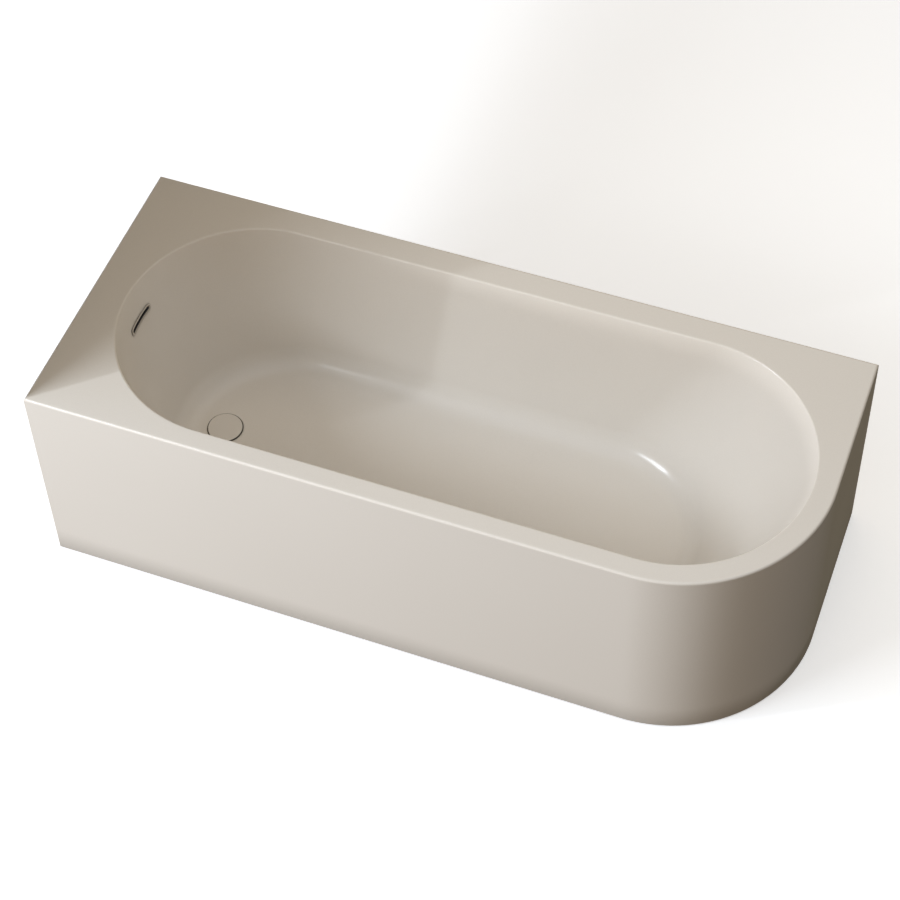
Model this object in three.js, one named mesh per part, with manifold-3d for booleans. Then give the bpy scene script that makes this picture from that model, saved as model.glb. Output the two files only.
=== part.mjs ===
// Acrylic bathtub for a wall corner. A stadium-shaped basin hangs in a flat rim, and a curved apron closes
// the front and one end. Below are the steel frame with its levelling feet, the press-to-close waste, the
// slot overflow with its ribbed hose, and the trap.
// Millimetres, +Z up. X runs along the bath from the drain end, and Y from the room to the back wall.
// The origin is on the floor, under the middle of the rim.

import * as THREE from "three";
import { mergeVertices } from "three/addons/utils/BufferGeometryUtils.js";
import Module from "manifold-3d";

const wasm = await Module();
wasm.setup();

// Driving sizes of the basin, rim and apron
const bath = {
  length: 1700,
  width: 700,
  height: 554,
  wall: 6,
  cornerRadius: 343,
  edgeRadius: 4.5,
  lipDepth: 40,
};
const rim = {
  front: 48,
  back: 63,
  drainEnd: 86,
  backrestEnd: 50,
  innerRadius: 5,
};
const basin = {
  floorHeight: 153,
  floorFall: 6,
  filletRadius: 60,
  sideLeanDeg: 6,
  drainEndLeanDeg: 13.5,
  backrestLeanDeg: 31.5,
};
const apron = {
  thickness: 6,
  floorGap: 3,
  bondFlangeWidth: 25,
  bondFlangeThickness: 6,
  returnWidth: 30,
};
const gap = 0.3;
const overrun = 5;

// Frame, board and feet
const board = {
  sideInset: 124.5,
  drainClearance: 68,
  backrestClearance: 350,
  thickness: 15,
  cornerRadius: 80,
};
const rail = {
  size: 25,
  wall: 1.8,
  boardInset: 60,
  startInset: 30,
  endClearance: 50,
};
const crossBar = {
  frontClearance: 65,
  backClearance: 80,
  footInset: 37.5,
  firstInset: 100,
  lastInset: 20,
};
const boardScrew = {
  radius: 2.2,
  headRadius: 4.6,
  headHeight: 2.6,
  bite: 11,
};
const foot = {
  padRadius: 25,
  padEdge: 3,
  padNeckRadius: 12,
  padHeight: 14,
  socketRadius: 4.6,
  socketFloor: 5,
  threadRadius: 6,
  tipRadius: 4.2,
  collarFlats: 17,
  collarHeight: 8,
  spindleProud: 17.9,
  nutFlats: 19,
  lockNutHeight: 7,
  weldNutHeight: 10,
  boreClearance: 0.5,
};
const bracket = {
  width: 30,
  thickness: 2,
  drop: 48,
  seat: 24,
};
const wallClip = {
  thickness: 3,
  plateHeight: 70,
  hookHeight: 20,
  width: 40,
  holeRadius: 3,
  holeDrop: 42,
  fromDrainEnd: 330,
  fromBackrestEnd: 430,
  fromBackWall: 160,
};

// Waste, plug and trap
const drain = {
  fromRimEdge: 196,
  holeRadius: 26,
  flangeRadius: 44,
  flangeThickness: 2.5,
  flangeChamfer: 0.8,
  seatClearance: 1,
  seatRadius: 37,
  seatDrop: 1.6,
  neckRadius: 25.5,
  boreRadius: 22.5,
  neckLength: 30,
  bossRadius: 11,
  bossHeight: 10,
  bossDrop: 17,
  spokeWidth: 3,
};
const drainSpokeCount = 3;
const plug = {
  radius: 40,
  top: 5,
  dome: 0.5,
  edgeRadius: 0.9,
  thickness: 1.2,
  skirtWall: 1.4,
  hubRadius: 6,
  hubLength: 6,
  sealInner: 26,
  sealOuter: 31,
  shaftRadius: 3,
  headRadius: 5.6,
  headHeight: 3,
};
const cartridge = {
  radius: 7.6,
  collarRadius: 10,
  collarHeight: 2.6,
  length: 28,
  wall: 1.6,
  springRoom: 8,
  shaftClearance: 0.4,
};
const spring = {
  wireRadius: 0.6,
  coilRadius: 4.8,
};
const springTurnCount = 3;
const waste = {
  gasketThickness: 4.8,
  gasketRadius: 42,
  topRadius: 43,
  topThickness: 4,
  cupRadius: 34,
  cupWall: 3.5,
  cupDepth: 44,
  outletRadius: 20,
  pipeWall: 2.5,
  outletLength: 13,
  inletDrop: 23,
  inletLength: 62,
};
const trap = {
  bendRadius: 38,
  inletStraight: 14,
  riseRadius: 28,
  outletStraight: 16,
  plugRadius: 15,
  plugStub: 12,
  plugCapRadius: 18,
  plugCapLength: 12,
  plugCapWall: 2,
  wallStandoff: 5,
};
const unionNut = {
  wall: 6,
  length: 18,
  lugDepth: 1.6,
  clearance: 0.7,
};
const unionNutLugCount = 8;
const unionNutLugPoints = 4;

// Slot overflow and its hose
const overflow = {
  drop: 77,
  trimLength: 90,
  trimHeight: 15,
  trimThickness: 2.6,
  trimChamfer: 0.9,
  slotLength: 76,
  slotHeight: 5,
  tailWall: 1.8,
  tailLength: 18,
  fitClearance: 1,
  gasketThickness: 3,
  flangeLength: 98,
  flangeHeight: 27,
  flangeThickness: 3.5,
  chamberLength: 88,
  chamberHeight: 23,
  chamberDepth: 42,
  chamberWall: 2.5,
  spigotBack: 28,
  spigotRadius: 12,
  spigotWall: 2.4,
  spigotLength: 34,
};
const hose = {
  boreRadius: 13.4,
  valleyRadius: 15.6,
  ribRadius: 18,
  bendRadius: 90,
  cuffLength: 36,
  ribPitch: 6.5,
  overlap: 18,
};
const hoseSideCount = 8;
const ribsPerBoreRing = 5;

// How finely round forms are divided
const quarterSteps = 14;
const straightSteps = 4;
const filletSteps = 5;
const roundingSteps = 3;
const roundSides = 16;
const smallSides = 12;
const drainSides = 32;
const springStepsPerTurn = 8;
const springSides = 5;
const trapBendSteps = 5;
const slotArcSteps = 4;
const slotStraightSteps = 4;

// Places that follow from the sizes
const front = -bath.width / 2;
const backWall = bath.width / 2;
const drainEnd = -bath.length / 2;
const backrestEnd = bath.length / 2;
const basinHalf = (bath.width - rim.front - rim.back) / 2;
const centreY = front + rim.front + basinHalf;
const basinLeft = drainEnd + rim.drainEnd;
const basinRight = backrestEnd - rim.backrestEnd;
const cornerX = backrestEnd - bath.cornerRadius;
const cornerY = front + bath.cornerRadius;
const deckUnder = bath.height - bath.wall;
const floorTop = basin.floorHeight;
const basinDepth = bath.height - floorTop;
const floorUnder = floorTop - bath.wall;
const drainX = basinLeft + drain.fromRimEdge;
const boardLeft = drainX + board.drainClearance;
const boardRight = backrestEnd - board.backrestClearance;
const boardHalf = basinHalf - board.sideInset;
const boardTop = floorUnder - gap;
const boardUnder = boardTop - board.thickness;
const railTop = boardUnder - gap;
const railUnder = railTop - rail.size;
const barTop = railUnder - gap;
const barUnder = barTop - rail.size;
const apronTop = deckUnder - gap;
const lipUnder = bath.height - bath.lipDepth;

// Materials

function finish(name, color, roughness, metalness) {
  return new THREE.MeshStandardMaterial({ name, color, roughness, metalness });
}
const acrylic = finish("acrylic", 0xcdc5ba, 0.18, 0);
const woodBoard = finish("board", 0xb08a5c, 0.8, 0);
const zincSteel = finish("zinc_steel", 0xb4b8ba, 0.42, 1);
const blackPlastic = finish("black_plastic", 0x26272a, 0.5, 0);
const greyPlastic = finish("grey_plastic", 0x8f9396, 0.5, 0);
const whitePlastic = finish("white_plastic", 0xe6e6e2, 0.45, 0);
const rubber = finish("rubber", 0x1b1b1c, 0.8, 0);
const brightSteel = finish("bright_steel", 0xc9ccce, 0.25, 1);
const cream = finish("drain_cover", 0xcdc5ba, 0.25, 0);

// Solids from closed geometry

function toSolid(geometry) {
  const bare = geometry.clone();
  bare.deleteAttribute("normal");
  bare.deleteAttribute("uv");
  const merged = mergeVertices(bare);
  const triVerts = new Uint32Array(merged.index.array);
  const vertProperties = new Float32Array(merged.attributes.position.array);
  return new wasm.Manifold(new wasm.Mesh({ numProp: 3, vertProperties, triVerts }));
}

function toGeometry(solid) {
  const { vertProperties, triVerts } = solid.getMesh();
  const geometry = new THREE.BufferGeometry();
  geometry.setAttribute("position", new THREE.BufferAttribute(vertProperties, 3));
  geometry.setIndex(new THREE.BufferAttribute(triVerts, 1));
  geometry.computeVertexNormals();
  return geometry;
}

function join(first, ...others) {
  let solid = toSolid(first);
  for (const other of others) {
    solid = solid.add(toSolid(other));
  }
  return toGeometry(solid);
}

function cut(first, ...tools) {
  let solid = toSolid(first);
  for (const tool of tools) {
    solid = solid.subtract(toSolid(tool));
  }
  return toGeometry(solid);
}

const group = new THREE.Group();

function add(name, geometry, material) {
  const mesh = new THREE.Mesh(geometry, material);
  mesh.name = name;
  group.add(mesh);
  return mesh;
}

// Forms shared by the pieces

const radians = THREE.MathUtils.degToRad;
const alongX = new THREE.Vector3(1, 0, 0);
const alongY = new THREE.Vector3(0, 1, 0);
const alongZ = new THREE.Vector3(0, 0, 1);

function signedVolume(points, faces) {
  let volume = 0;
  for (let i = 0; i < faces.length; i += 3) {
    const [a, b, c] = [points[faces[i]], points[faces[i + 1]], points[faces[i + 2]]];
    volume += a.dot(b.clone().cross(c));
  }
  return volume;
}

function skin(points, faces) {
  if (signedVolume(points, faces) < 0) {
    faces.reverse();
  }
  const geometry = new THREE.BufferGeometry().setFromPoints(points);
  geometry.setIndex(faces);
  geometry.computeVertexNormals();
  return geometry;
}

// A skin through loops of equal count. A closed loft runs from its last loop back to its first, and an
// open one is capped over its first and last loops.
function loft(loops, closed) {
  const count = loops[0].length;
  const points = loops.flat();
  const faces = [];
  const spans = closed ? loops.length : loops.length - 1;
  for (let k = 0; k < spans; k += 1) {
    const low = k * count;
    const high = ((k + 1) % loops.length) * count;
    for (let i = 0; i < count; i += 1) {
      const next = (i + 1) % count;
      faces.push(low + i, low + next, high + next);
      faces.push(low + i, high + next, high + i);
    }
  }
  if (!closed) {
    for (const k of [0, loops.length - 1]) {
      const middle = new THREE.Vector3();
      for (const point of loops[k]) {
        middle.addScaledVector(point, 1 / count);
      }
      const hub = points.push(middle) - 1;
      for (let i = 0; i < count; i += 1) {
        const rimPair = [k * count + i, k * count + ((i + 1) % count)];
        faces.push(...(k === 0 ? rimPair.reverse() : rimPair), hub);
      }
    }
  }
  return skin(points, faces);
}

function extrude(shape, depth, curveSegments = quarterSteps) {
  return new THREE.ExtrudeGeometry(shape, { depth, bevelEnabled: false, curveSegments });
}

function revolve(profile, sides = roundSides) {
  const points = profile.map(([radius, z]) => new THREE.Vector2(radius, z));
  const geometry = new THREE.LatheGeometry(points, sides);
  geometry.rotateX(Math.PI / 2);
  return geometry;
}

function rod(radius, low, high, sides = roundSides) {
  const geometry = new THREE.CylinderGeometry(radius, radius, high - low, sides);
  geometry.rotateX(Math.PI / 2);
  geometry.translate(0, 0, (low + high) / 2);
  return geometry;
}

function sleeve(inner, outer, low, high, sides = roundSides) {
  return revolve([[inner, low], [outer, low], [outer, high], [inner, high], [inner, low]], sides);
}

function hexagon(flats, low, high) {
  return rod(flats / 2 / Math.cos(Math.PI / 6), low, high, 6);
}

function block(sizeX, sizeY, low, high) {
  const geometry = new THREE.BoxGeometry(sizeX, sizeY, high - low);
  geometry.translate(0, 0, (low + high) / 2);
  return geometry;
}

// A box tube along X between two stations
function boxTube(start, end, size, wall) {
  const outside = size / 2;
  const inside = outside - wall;
  const section = new THREE.Shape();
  section.moveTo(-outside, -outside).lineTo(outside, -outside).lineTo(outside, outside);
  section.lineTo(-outside, outside).closePath();
  const hollow = new THREE.Path();
  hollow.moveTo(-inside, -inside).lineTo(-inside, inside).lineTo(inside, inside);
  hollow.lineTo(inside, -inside).closePath();
  section.holes.push(hollow);
  const geometry = extrude(section, end - start);
  geometry.rotateY(Math.PI / 2);
  geometry.translate(start, 0, 0);
  return geometry;
}

// A quarter bend, from one direction out of its centre to another square to it
class Bend extends THREE.Curve {
  constructor(centre, radius, from, to) {
    super();
    this.centre = centre;
    this.radius = radius;
    this.from = from;
    this.to = to;
  }

  getPoint(share, target = new THREE.Vector3()) {
    const angle = share * Math.PI / 2;
    target.copy(this.centre);
    target.addScaledVector(this.from, this.radius * Math.cos(angle));
    target.addScaledVector(this.to, this.radius * Math.sin(angle));
    return target;
  }
}

// A ring of points round a route that lies in the plane square to side
function ringAt(point, tangent, side, radius, sides) {
  const up = new THREE.Vector3().crossVectors(side, tangent).normalize();
  const ring = [];
  for (let i = 0; i < sides; i += 1) {
    const angle = i / sides * Math.PI * 2;
    const place = point.clone().addScaledVector(side, radius * Math.cos(angle));
    ring.push(place.addScaledVector(up, radius * Math.sin(angle)));
  }
  return ring;
}

// A pipe along lines and bends, with its bore
function pipe(curves, side, radius, wall, sides = roundSides) {
  const stations = [];
  curves.forEach((curve, index) => {
    const steps = curve instanceof Bend ? trapBendSteps : 1;
    for (let i = index === 0 ? 0 : 1; i <= steps; i += 1) {
      stations.push({ point: curve.getPoint(i / steps), tangent: curve.getTangent(i / steps) });
    }
  });
  const outside = stations.map(({ point, tangent }) => ringAt(point, tangent, side, radius, sides));
  const inside = stations.map(({ point, tangent }) => ringAt(point, tangent, side, radius - wall, sides));
  return loft([...outside, ...inside.reverse()], true);
}

// Basin shell

function rayAngle(x, y, centreX) {
  return Math.atan2(y - centreY, x - centreX);
}

// The stations go round the basin against the clock. Each has its direction from the basin's long centre
// line, and its share of the way from the drain end's arc to the backrest's. The rim's corners lie on rays.
function basinStations() {
  const rightCentre = basinRight - basinHalf;
  const leftCentre = basinLeft + basinHalf;
  const quarter = Math.PI / 2;
  const rightCorner = rayAngle(backrestEnd, backWall, rightCentre);
  const backCorner = rayAngle(drainEnd, backWall, leftCentre);
  const frontCorner = rayAngle(drainEnd, front, leftCentre) + Math.PI * 2;
  const stations = [];
  const arc = (from, to, end) => {
    const steps = Math.ceil(quarterSteps * (to - from) / quarter - 1e-9);
    for (let i = 0; i < steps; i += 1) {
      stations.push({ angle: from + (to - from) * i / steps, share: end });
    }
  };
  const straight = (angle, from, to) => {
    for (let i = 0; i < straightSteps; i += 1) {
      stations.push({ angle, share: from + (to - from) * i / straightSteps });
    }
  };
  arc(-quarter, 0, 1);
  arc(0, rightCorner, 1);
  arc(rightCorner, quarter, 1);
  straight(quarter, 1, 0);
  arc(quarter + quarter / quarterSteps, backCorner, 0);
  arc(backCorner, frontCorner, 0);
  arc(frontCorner, quarter * 3, 0);
  straight(quarter * 3, 0, 1);
  return stations;
}
const stations = basinStations();

// The points of one wall's section as distance in from the rim's edge and depth. The wall leans in by
// lean, a rounding leads into it from the rim, and a fillet leads out of it to the floor.
function wallSection(leanDeg) {
  const lean = radians(leanDeg);
  const turn = Math.PI / 2 - lean;
  const section = [];
  const tangentLength = rim.innerRadius * Math.tan(turn / 2);
  for (let i = 0; i <= roundingSteps; i += 1) {
    const angle = turn * i / roundingSteps;
    section.push({
      inset: rim.innerRadius * Math.sin(angle) - tangentLength,
      depth: rim.innerRadius * (1 - Math.cos(angle)),
    });
  }
  const foot = basinDepth * Math.tan(lean) + basin.filletRadius * Math.tan(turn / 2);
  for (let i = filletSteps; i >= 0; i -= 1) {
    const angle = turn * i / filletSteps;
    section.push({
      inset: foot - basin.filletRadius * Math.sin(angle),
      depth: basinDepth - basin.filletRadius * (1 - Math.cos(angle)),
    });
  }
  return section;
}

// The same wall's hidden side, one wall thickness out
function undersideSection(leanDeg) {
  const lean = radians(leanDeg);
  const turn = Math.PI / 2 - lean;
  const radius = basin.filletRadius + bath.wall;
  const foot = basinDepth * Math.tan(lean) + basin.filletRadius * Math.tan(turn / 2);
  const section = [{
    inset: bath.wall * Math.tan(lean) - bath.wall / Math.cos(lean),
    depth: bath.wall,
  }];
  for (let i = filletSteps; i >= 0; i -= 1) {
    const angle = turn * i / filletSteps;
    section.push({
      inset: foot - radius * Math.sin(angle),
      depth: basinDepth + bath.wall - radius * (1 - Math.cos(angle)),
    });
  }
  return section;
}

// A loop round the basin from the three walls' points of one level. The sides rule where the wall faces
// front or back, and the ends rule where it faces along the bath.
function basinLoop(side, drainWall, backrest, fall) {
  const left = basinLeft + drainWall.inset;
  const right = basinRight - backrest.inset;
  const half = basinHalf - side.inset;
  return stations.map(({ angle, share }) => {
    const centreX = THREE.MathUtils.lerp(left + half, right - half, share);
    const x = centreX + half * Math.cos(angle);
    const end = Math.cos(angle) < 0 ? drainWall : backrest;
    const depth = THREE.MathUtils.lerp(side.depth, end.depth, Math.cos(angle) ** 2);
    const along = THREE.MathUtils.clamp((x - drainX) / (basinRight - drainX), 0, 1);
    const z = bath.height - depth * (1 - fall * along / basinDepth);
    return new THREE.Vector3(x, centreY + half * Math.sin(angle), z);
  });
}

// A loop on the rim's outer edge, drawn in by inset
function edgeLoop(inset, z) {
  return stations.map(({ angle, share }) => {
    const [dx, dy] = [Math.cos(angle), Math.sin(angle)];
    if (share === 1 && angle <= 0) {
      const radius = bath.cornerRadius - inset;
      return new THREE.Vector3(cornerX + radius * dx, cornerY + radius * dy, z);
    }
    const startX = THREE.MathUtils.lerp(basinLeft + basinHalf, basinRight - basinHalf, share);
    const wallX = (dx < 0 ? drainEnd + inset : backrestEnd - inset) - startX;
    const wallY = (dy < 0 ? front + inset : backWall - inset) - centreY;
    const reachX = Math.abs(dx) < 1e-9 ? Infinity : wallX / dx;
    const reachY = Math.abs(dy) < 1e-9 ? Infinity : wallY / dy;
    const reach = Math.min(reachX, reachY);
    return new THREE.Vector3(startX + reach * dx, centreY + reach * dy, z);
  });
}

function basinBowl() {
  const loops = [];
  const inside = [basin.sideLeanDeg, basin.drainEndLeanDeg, basin.backrestLeanDeg].map(wallSection);
  for (let i = inside[0].length - 1; i >= 0; i -= 1) {
    loops.push(basinLoop(inside[0][i], inside[1][i], inside[2][i], basin.floorFall));
  }
  for (let i = 0; i <= roundingSteps; i += 1) {
    const angle = i / roundingSteps * Math.PI / 2;
    const drop = bath.edgeRadius * (1 - Math.cos(angle));
    loops.push(edgeLoop(bath.edgeRadius * (1 - Math.sin(angle)), bath.height - drop));
  }
  loops.push(edgeLoop(0, deckUnder));
  const under = [basin.sideLeanDeg, basin.drainEndLeanDeg, basin.backrestLeanDeg].map(undersideSection);
  for (let i = 0; i < under[0].length; i += 1) {
    loops.push(basinLoop(under[0][i], under[1][i], under[2][i], 0));
  }
  return loft(loops, false);
}

// The lip that stiffens the rim along both walls, and that the wall clips hold
function wallLip() {
  const endClear = apron.thickness + gap;
  const plan = new THREE.Shape();
  plan.moveTo(drainEnd, front + endClear);
  plan.lineTo(drainEnd + bath.wall, front + endClear);
  plan.lineTo(drainEnd + bath.wall, backWall - bath.wall);
  plan.lineTo(backrestEnd - endClear, backWall - bath.wall);
  plan.lineTo(backrestEnd - endClear, backWall);
  plan.lineTo(drainEnd, backWall);
  plan.closePath();
  const geometry = extrude(plan, bath.lipDepth - bath.edgeRadius);
  geometry.translate(0, 0, lipUnder);
  return geometry;
}

// The overflow's own frame: its X points into the basin, square to the leaning wall
const drainEndLean = radians(basin.drainEndLeanDeg);
const overflowX = basinLeft + overflow.drop * Math.tan(drainEndLean);
const overflowZ = bath.height - overflow.drop;
const overflowHalf = basinHalf - overflow.drop * Math.tan(radians(basin.sideLeanDeg));
const overflowCurve = overflowHalf / Math.cos(drainEndLean);
const facetRise = overflowHalf * (1 - Math.cos(Math.PI / 4 / quarterSteps));
const overflowSeat = gap + facetRise;

function ontoDrainEndWall(geometry) {
  geometry.rotateY(-drainEndLean);
  geometry.translate(overflowX, centreY, overflowZ);
  return geometry;
}

// A slot-shaped loop square to X that follows the wall's curve
function slotLoop(length, height, x) {
  const radius = height / 2;
  const half = length / 2 - radius;
  const loop = [];
  const put = (y, z) => loop.push(new THREE.Vector3(x + y * y / (2 * overflowCurve), y, z));
  for (let i = 0; i < slotStraightSteps; i += 1) {
    put(THREE.MathUtils.lerp(-half, half, i / slotStraightSteps), -radius);
  }
  for (let i = 0; i < slotArcSteps; i += 1) {
    const angle = (i / slotArcSteps - 1 / 2) * Math.PI;
    put(half + radius * Math.cos(angle), radius * Math.sin(angle));
  }
  for (let i = 0; i < slotStraightSteps; i += 1) {
    put(THREE.MathUtils.lerp(half, -half, i / slotStraightSteps), radius);
  }
  for (let i = 0; i < slotArcSteps; i += 1) {
    const angle = (i / slotArcSteps + 1 / 2) * Math.PI;
    put(-half + radius * Math.cos(angle), radius * Math.sin(angle));
  }
  return loop;
}

const tailLength = overflow.slotLength + 2 * overflow.tailWall;
const tailHeight = overflow.slotHeight + 2 * overflow.tailWall;
const holeLength = tailLength + 2 * overflow.fitClearance;
const holeHeight = tailHeight + 2 * overflow.fitClearance;

function buildShell() {
  const drainHole = rod(drain.holeRadius, floorUnder - overrun, floorTop + overrun);
  const drainSeat = rod(drain.flangeRadius + drain.seatClearance, floorTop, floorTop + overrun);
  drainHole.translate(drainX, centreY, 0);
  drainSeat.translate(drainX, centreY, 0);
  const slotReach = bath.wall + 2 * overrun;
  const slotHole = loft([
    slotLoop(holeLength, holeHeight, -slotReach),
    slotLoop(holeLength, holeHeight, slotReach),
  ], false);
  ontoDrainEndWall(slotHole);
  const shell = join(basinBowl(), wallLip());
  add("basin_shell", cut(shell, drainHole, drainSeat, slotHole), acrylic);
}
buildShell();

// Apron

function apronStrip(outerInset, innerInset, endX, endY) {
  const plan = new THREE.Shape();
  plan.moveTo(endX, front + outerInset);
  plan.lineTo(cornerX, front + outerInset);
  plan.absarc(cornerX, cornerY, bath.cornerRadius - outerInset, -Math.PI / 2, 0, false);
  plan.lineTo(backrestEnd - outerInset, endY);
  plan.lineTo(backrestEnd - innerInset, endY);
  plan.lineTo(backrestEnd - innerInset, cornerY);
  plan.absarc(cornerX, cornerY, bath.cornerRadius - innerInset, 0, -Math.PI / 2, true);
  plan.lineTo(endX, front + innerInset);
  plan.closePath();
  return plan;
}

function buildApron() {
  const panel = extrude(apronStrip(0, apron.thickness, drainEnd, backWall), apronTop - apron.floorGap);
  panel.translate(0, 0, apron.floorGap);
  const clear = bath.wall + gap;
  const flangeInner = apron.thickness + apron.bondFlangeWidth;
  const flangePlan = apronStrip(apron.thickness / 2, flangeInner, drainEnd + clear, backWall - clear);
  const flange = extrude(flangePlan, apron.bondFlangeThickness);
  flange.translate(0, 0, apronTop - apron.bondFlangeThickness);
  const returnTop = lipUnder - gap;
  const leftReturn = block(apron.thickness, apron.returnWidth, apron.floorGap, returnTop);
  leftReturn.translate(drainEnd + apron.thickness / 2, front + apron.returnWidth / 2, 0);
  const rightReturn = block(apron.returnWidth, apron.thickness, apron.floorGap, returnTop);
  rightReturn.translate(backrestEnd - apron.returnWidth / 2, backWall - apron.thickness / 2, 0);
  add("apron_panel", join(panel, flange, leftReturn, rightReturn), acrylic);
}
buildApron();

// Board and steel frame

function roundedPlate(left, right, half, thickness, radius) {
  const y = half - radius;
  const plan = new THREE.Shape();
  plan.absarc(right - radius, -y, radius, -Math.PI / 2, 0, false);
  plan.absarc(right - radius, y, radius, 0, Math.PI / 2, false);
  plan.absarc(left + radius, y, radius, Math.PI / 2, Math.PI, false);
  plan.absarc(left + radius, -y, radius, Math.PI, Math.PI * 3 / 2, false);
  return extrude(plan, thickness, filletSteps);
}

function screwHole(x, y, low, high) {
  const hole = rod(boardScrew.radius + gap, low, high, smallSides);
  hole.translate(x, y, 0);
  return hole;
}

const barStart = boardLeft + crossBar.firstInset;
const barStop = boardRight - crossBar.lastInset;
const barMiddle = (barStart + barStop) / 2;
const barPlacesX = [barStart, barMiddle, barStop];
const screwPlacesX = [(barStart + barMiddle) / 2, (barMiddle + barStop) / 2];
const railOffset = boardHalf - rail.boardInset;
const railPlacesY = [centreY - railOffset, centreY + railOffset];
const railEnd = backrestEnd - rail.endClearance;

function buildFrame() {
  const plate = roundedPlate(boardLeft, boardRight, boardHalf, board.thickness, board.cornerRadius);
  plate.translate(0, centreY, boardUnder);
  const boardHoles = [];
  railPlacesY.forEach((y, row) => {
    const holes = screwPlacesX.map((x) => screwHole(x, y, railUnder - overrun, railTop + overrun));
    const tube = boxTube(boardLeft + rail.startInset, railEnd, rail.size, rail.wall);
    tube.translate(0, y, railUnder + rail.size / 2);
    add(row === 0 ? "frame_rail_front" : "frame_rail_back", cut(tube, ...holes), zincSteel);
    screwPlacesX.forEach((x, column) => {
      const tip = boardUnder + boardScrew.bite;
      boardHoles.push(screwHole(x, y, boardUnder - overrun, tip + gap));
      const head = rod(boardScrew.headRadius, railUnder - gap - boardScrew.headHeight, railUnder - gap, smallSides);
      const shank = rod(boardScrew.radius, railUnder - gap - boardScrew.headHeight / 2, tip, smallSides);
      const screw = join(head, shank);
      screw.translate(x, y, 0);
      add(`board_screw_${row * screwPlacesX.length + column + 1}`, screw, brightSteel);
    });
  });
  add("base_board", cut(plate, ...boardHoles), woodBoard);
}
buildFrame();

const barFront = front + crossBar.frontClearance;
const barBack = backWall - crossBar.backClearance;
const footPlacesY = [barFront + crossBar.footInset, barBack - crossBar.footInset];
const barNames = ["left", "middle", "right"];

function buildCrossBars() {
  barPlacesX.forEach((x, index) => {
    const tube = boxTube(barFront, barBack, rail.size, rail.wall);
    tube.rotateZ(Math.PI / 2);
    tube.translate(x, 0, barUnder + rail.size / 2);
    const nuts = [];
    const bores = [];
    for (const y of footPlacesY) {
      const nut = hexagon(foot.nutFlats, barTop - rail.wall / 2, barTop + foot.weldNutHeight);
      nut.translate(x, y, 0);
      nuts.push(nut);
      const boreRadius = foot.threadRadius + foot.boreClearance;
      const boreTop = barTop + foot.weldNutHeight + overrun;
      const bore = rod(boreRadius, barUnder - overrun, boreTop, smallSides);
      bore.translate(x, y, 0);
      bores.push(bore);
    }
    add(`cross_bar_${barNames[index]}`, cut(join(tube, ...nuts), ...bores), zincSteel);
  });
}
buildCrossBars();

// Levelling feet

function footPad() {
  return revolve([
    [0, 0],
    [foot.padRadius, 0],
    [foot.padRadius, foot.padEdge],
    [foot.padNeckRadius, foot.padHeight - foot.padEdge],
    [foot.padNeckRadius, foot.padHeight],
    [foot.socketRadius, foot.padHeight],
    [foot.socketRadius, foot.socketFloor],
    [0, foot.socketFloor],
  ]);
}

function footSpindle() {
  const collarLow = foot.padHeight + gap;
  const tip = rod(foot.tipRadius, foot.socketFloor + gap, collarLow + gap, smallSides);
  const collar = hexagon(foot.collarFlats, collarLow, collarLow + foot.collarHeight);
  const top = barTop + foot.weldNutHeight + foot.spindleProud;
  const thread = rod(foot.threadRadius, collarLow + foot.collarHeight / 2, top, smallSides);
  return join(tip, collar, thread);
}

function lockNut() {
  const top = barUnder - gap;
  const low = top - foot.lockNutHeight;
  const bore = rod(foot.threadRadius + foot.boreClearance, low - overrun, top + overrun, smallSides);
  return cut(hexagon(foot.nutFlats, low, top), bore);
}

function buildFeet() {
  let number = 1;
  for (const x of barPlacesX) {
    for (const y of footPlacesY) {
      add(`foot_pad_${number}`, footPad(), blackPlastic).position.set(x, y, 0);
      add(`foot_spindle_${number}`, footSpindle(), brightSteel).position.set(x, y, 0);
      add(`foot_lock_nut_${number}`, lockNut(), brightSteel).position.set(x, y, 0);
      number += 1;
    }
  }
}
buildFeet();

// Brackets that hold the apron's foot to the frame, and the clips that hold the rim to the walls

// An angle whose flat leg runs out along +X from its seat and turns down at the end
function angleBracket(reach) {
  const profile = new THREE.Shape();
  profile.moveTo(0, 0);
  profile.lineTo(reach - bracket.thickness, 0);
  profile.lineTo(reach - bracket.thickness, -bracket.drop);
  profile.lineTo(reach, -bracket.drop);
  profile.lineTo(reach, bracket.thickness);
  profile.lineTo(0, bracket.thickness);
  profile.closePath();
  const geometry = extrude(profile, bracket.width);
  geometry.rotateX(Math.PI / 2);
  geometry.translate(0, bracket.width / 2, 0);
  return geometry;
}

// How far the apron's inner face is from its round corner's centre, at a distance past that centre
function apronReach(past) {
  const radius = bath.cornerRadius - apron.thickness;
  return past > 0 ? Math.sqrt(radius ** 2 - past ** 2) : radius;
}

function buildBrackets() {
  const barSeat = barFront + bracket.seat;
  barPlacesX.forEach((x, index) => {
    const apronY = cornerY - apronReach(x + bracket.width / 2 - cornerX);
    const piece = angleBracket(barSeat - apronY - gap);
    piece.rotateZ(-Math.PI / 2);
    piece.translate(x, barSeat, barTop + gap);
    add(`apron_bracket_${index + 1}`, piece, zincSteel);
  });
  const railSeat = railEnd - bracket.seat;
  const apronX = cornerX + apronReach(cornerY - railPlacesY[1] + bracket.width / 2);
  const sidePiece = angleBracket(apronX - gap - railSeat);
  sidePiece.translate(railSeat, railPlacesY[1], railTop + gap);
  add(`apron_bracket_${barPlacesX.length + 1}`, sidePiece, zincSteel);
}
buildBrackets();

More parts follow.
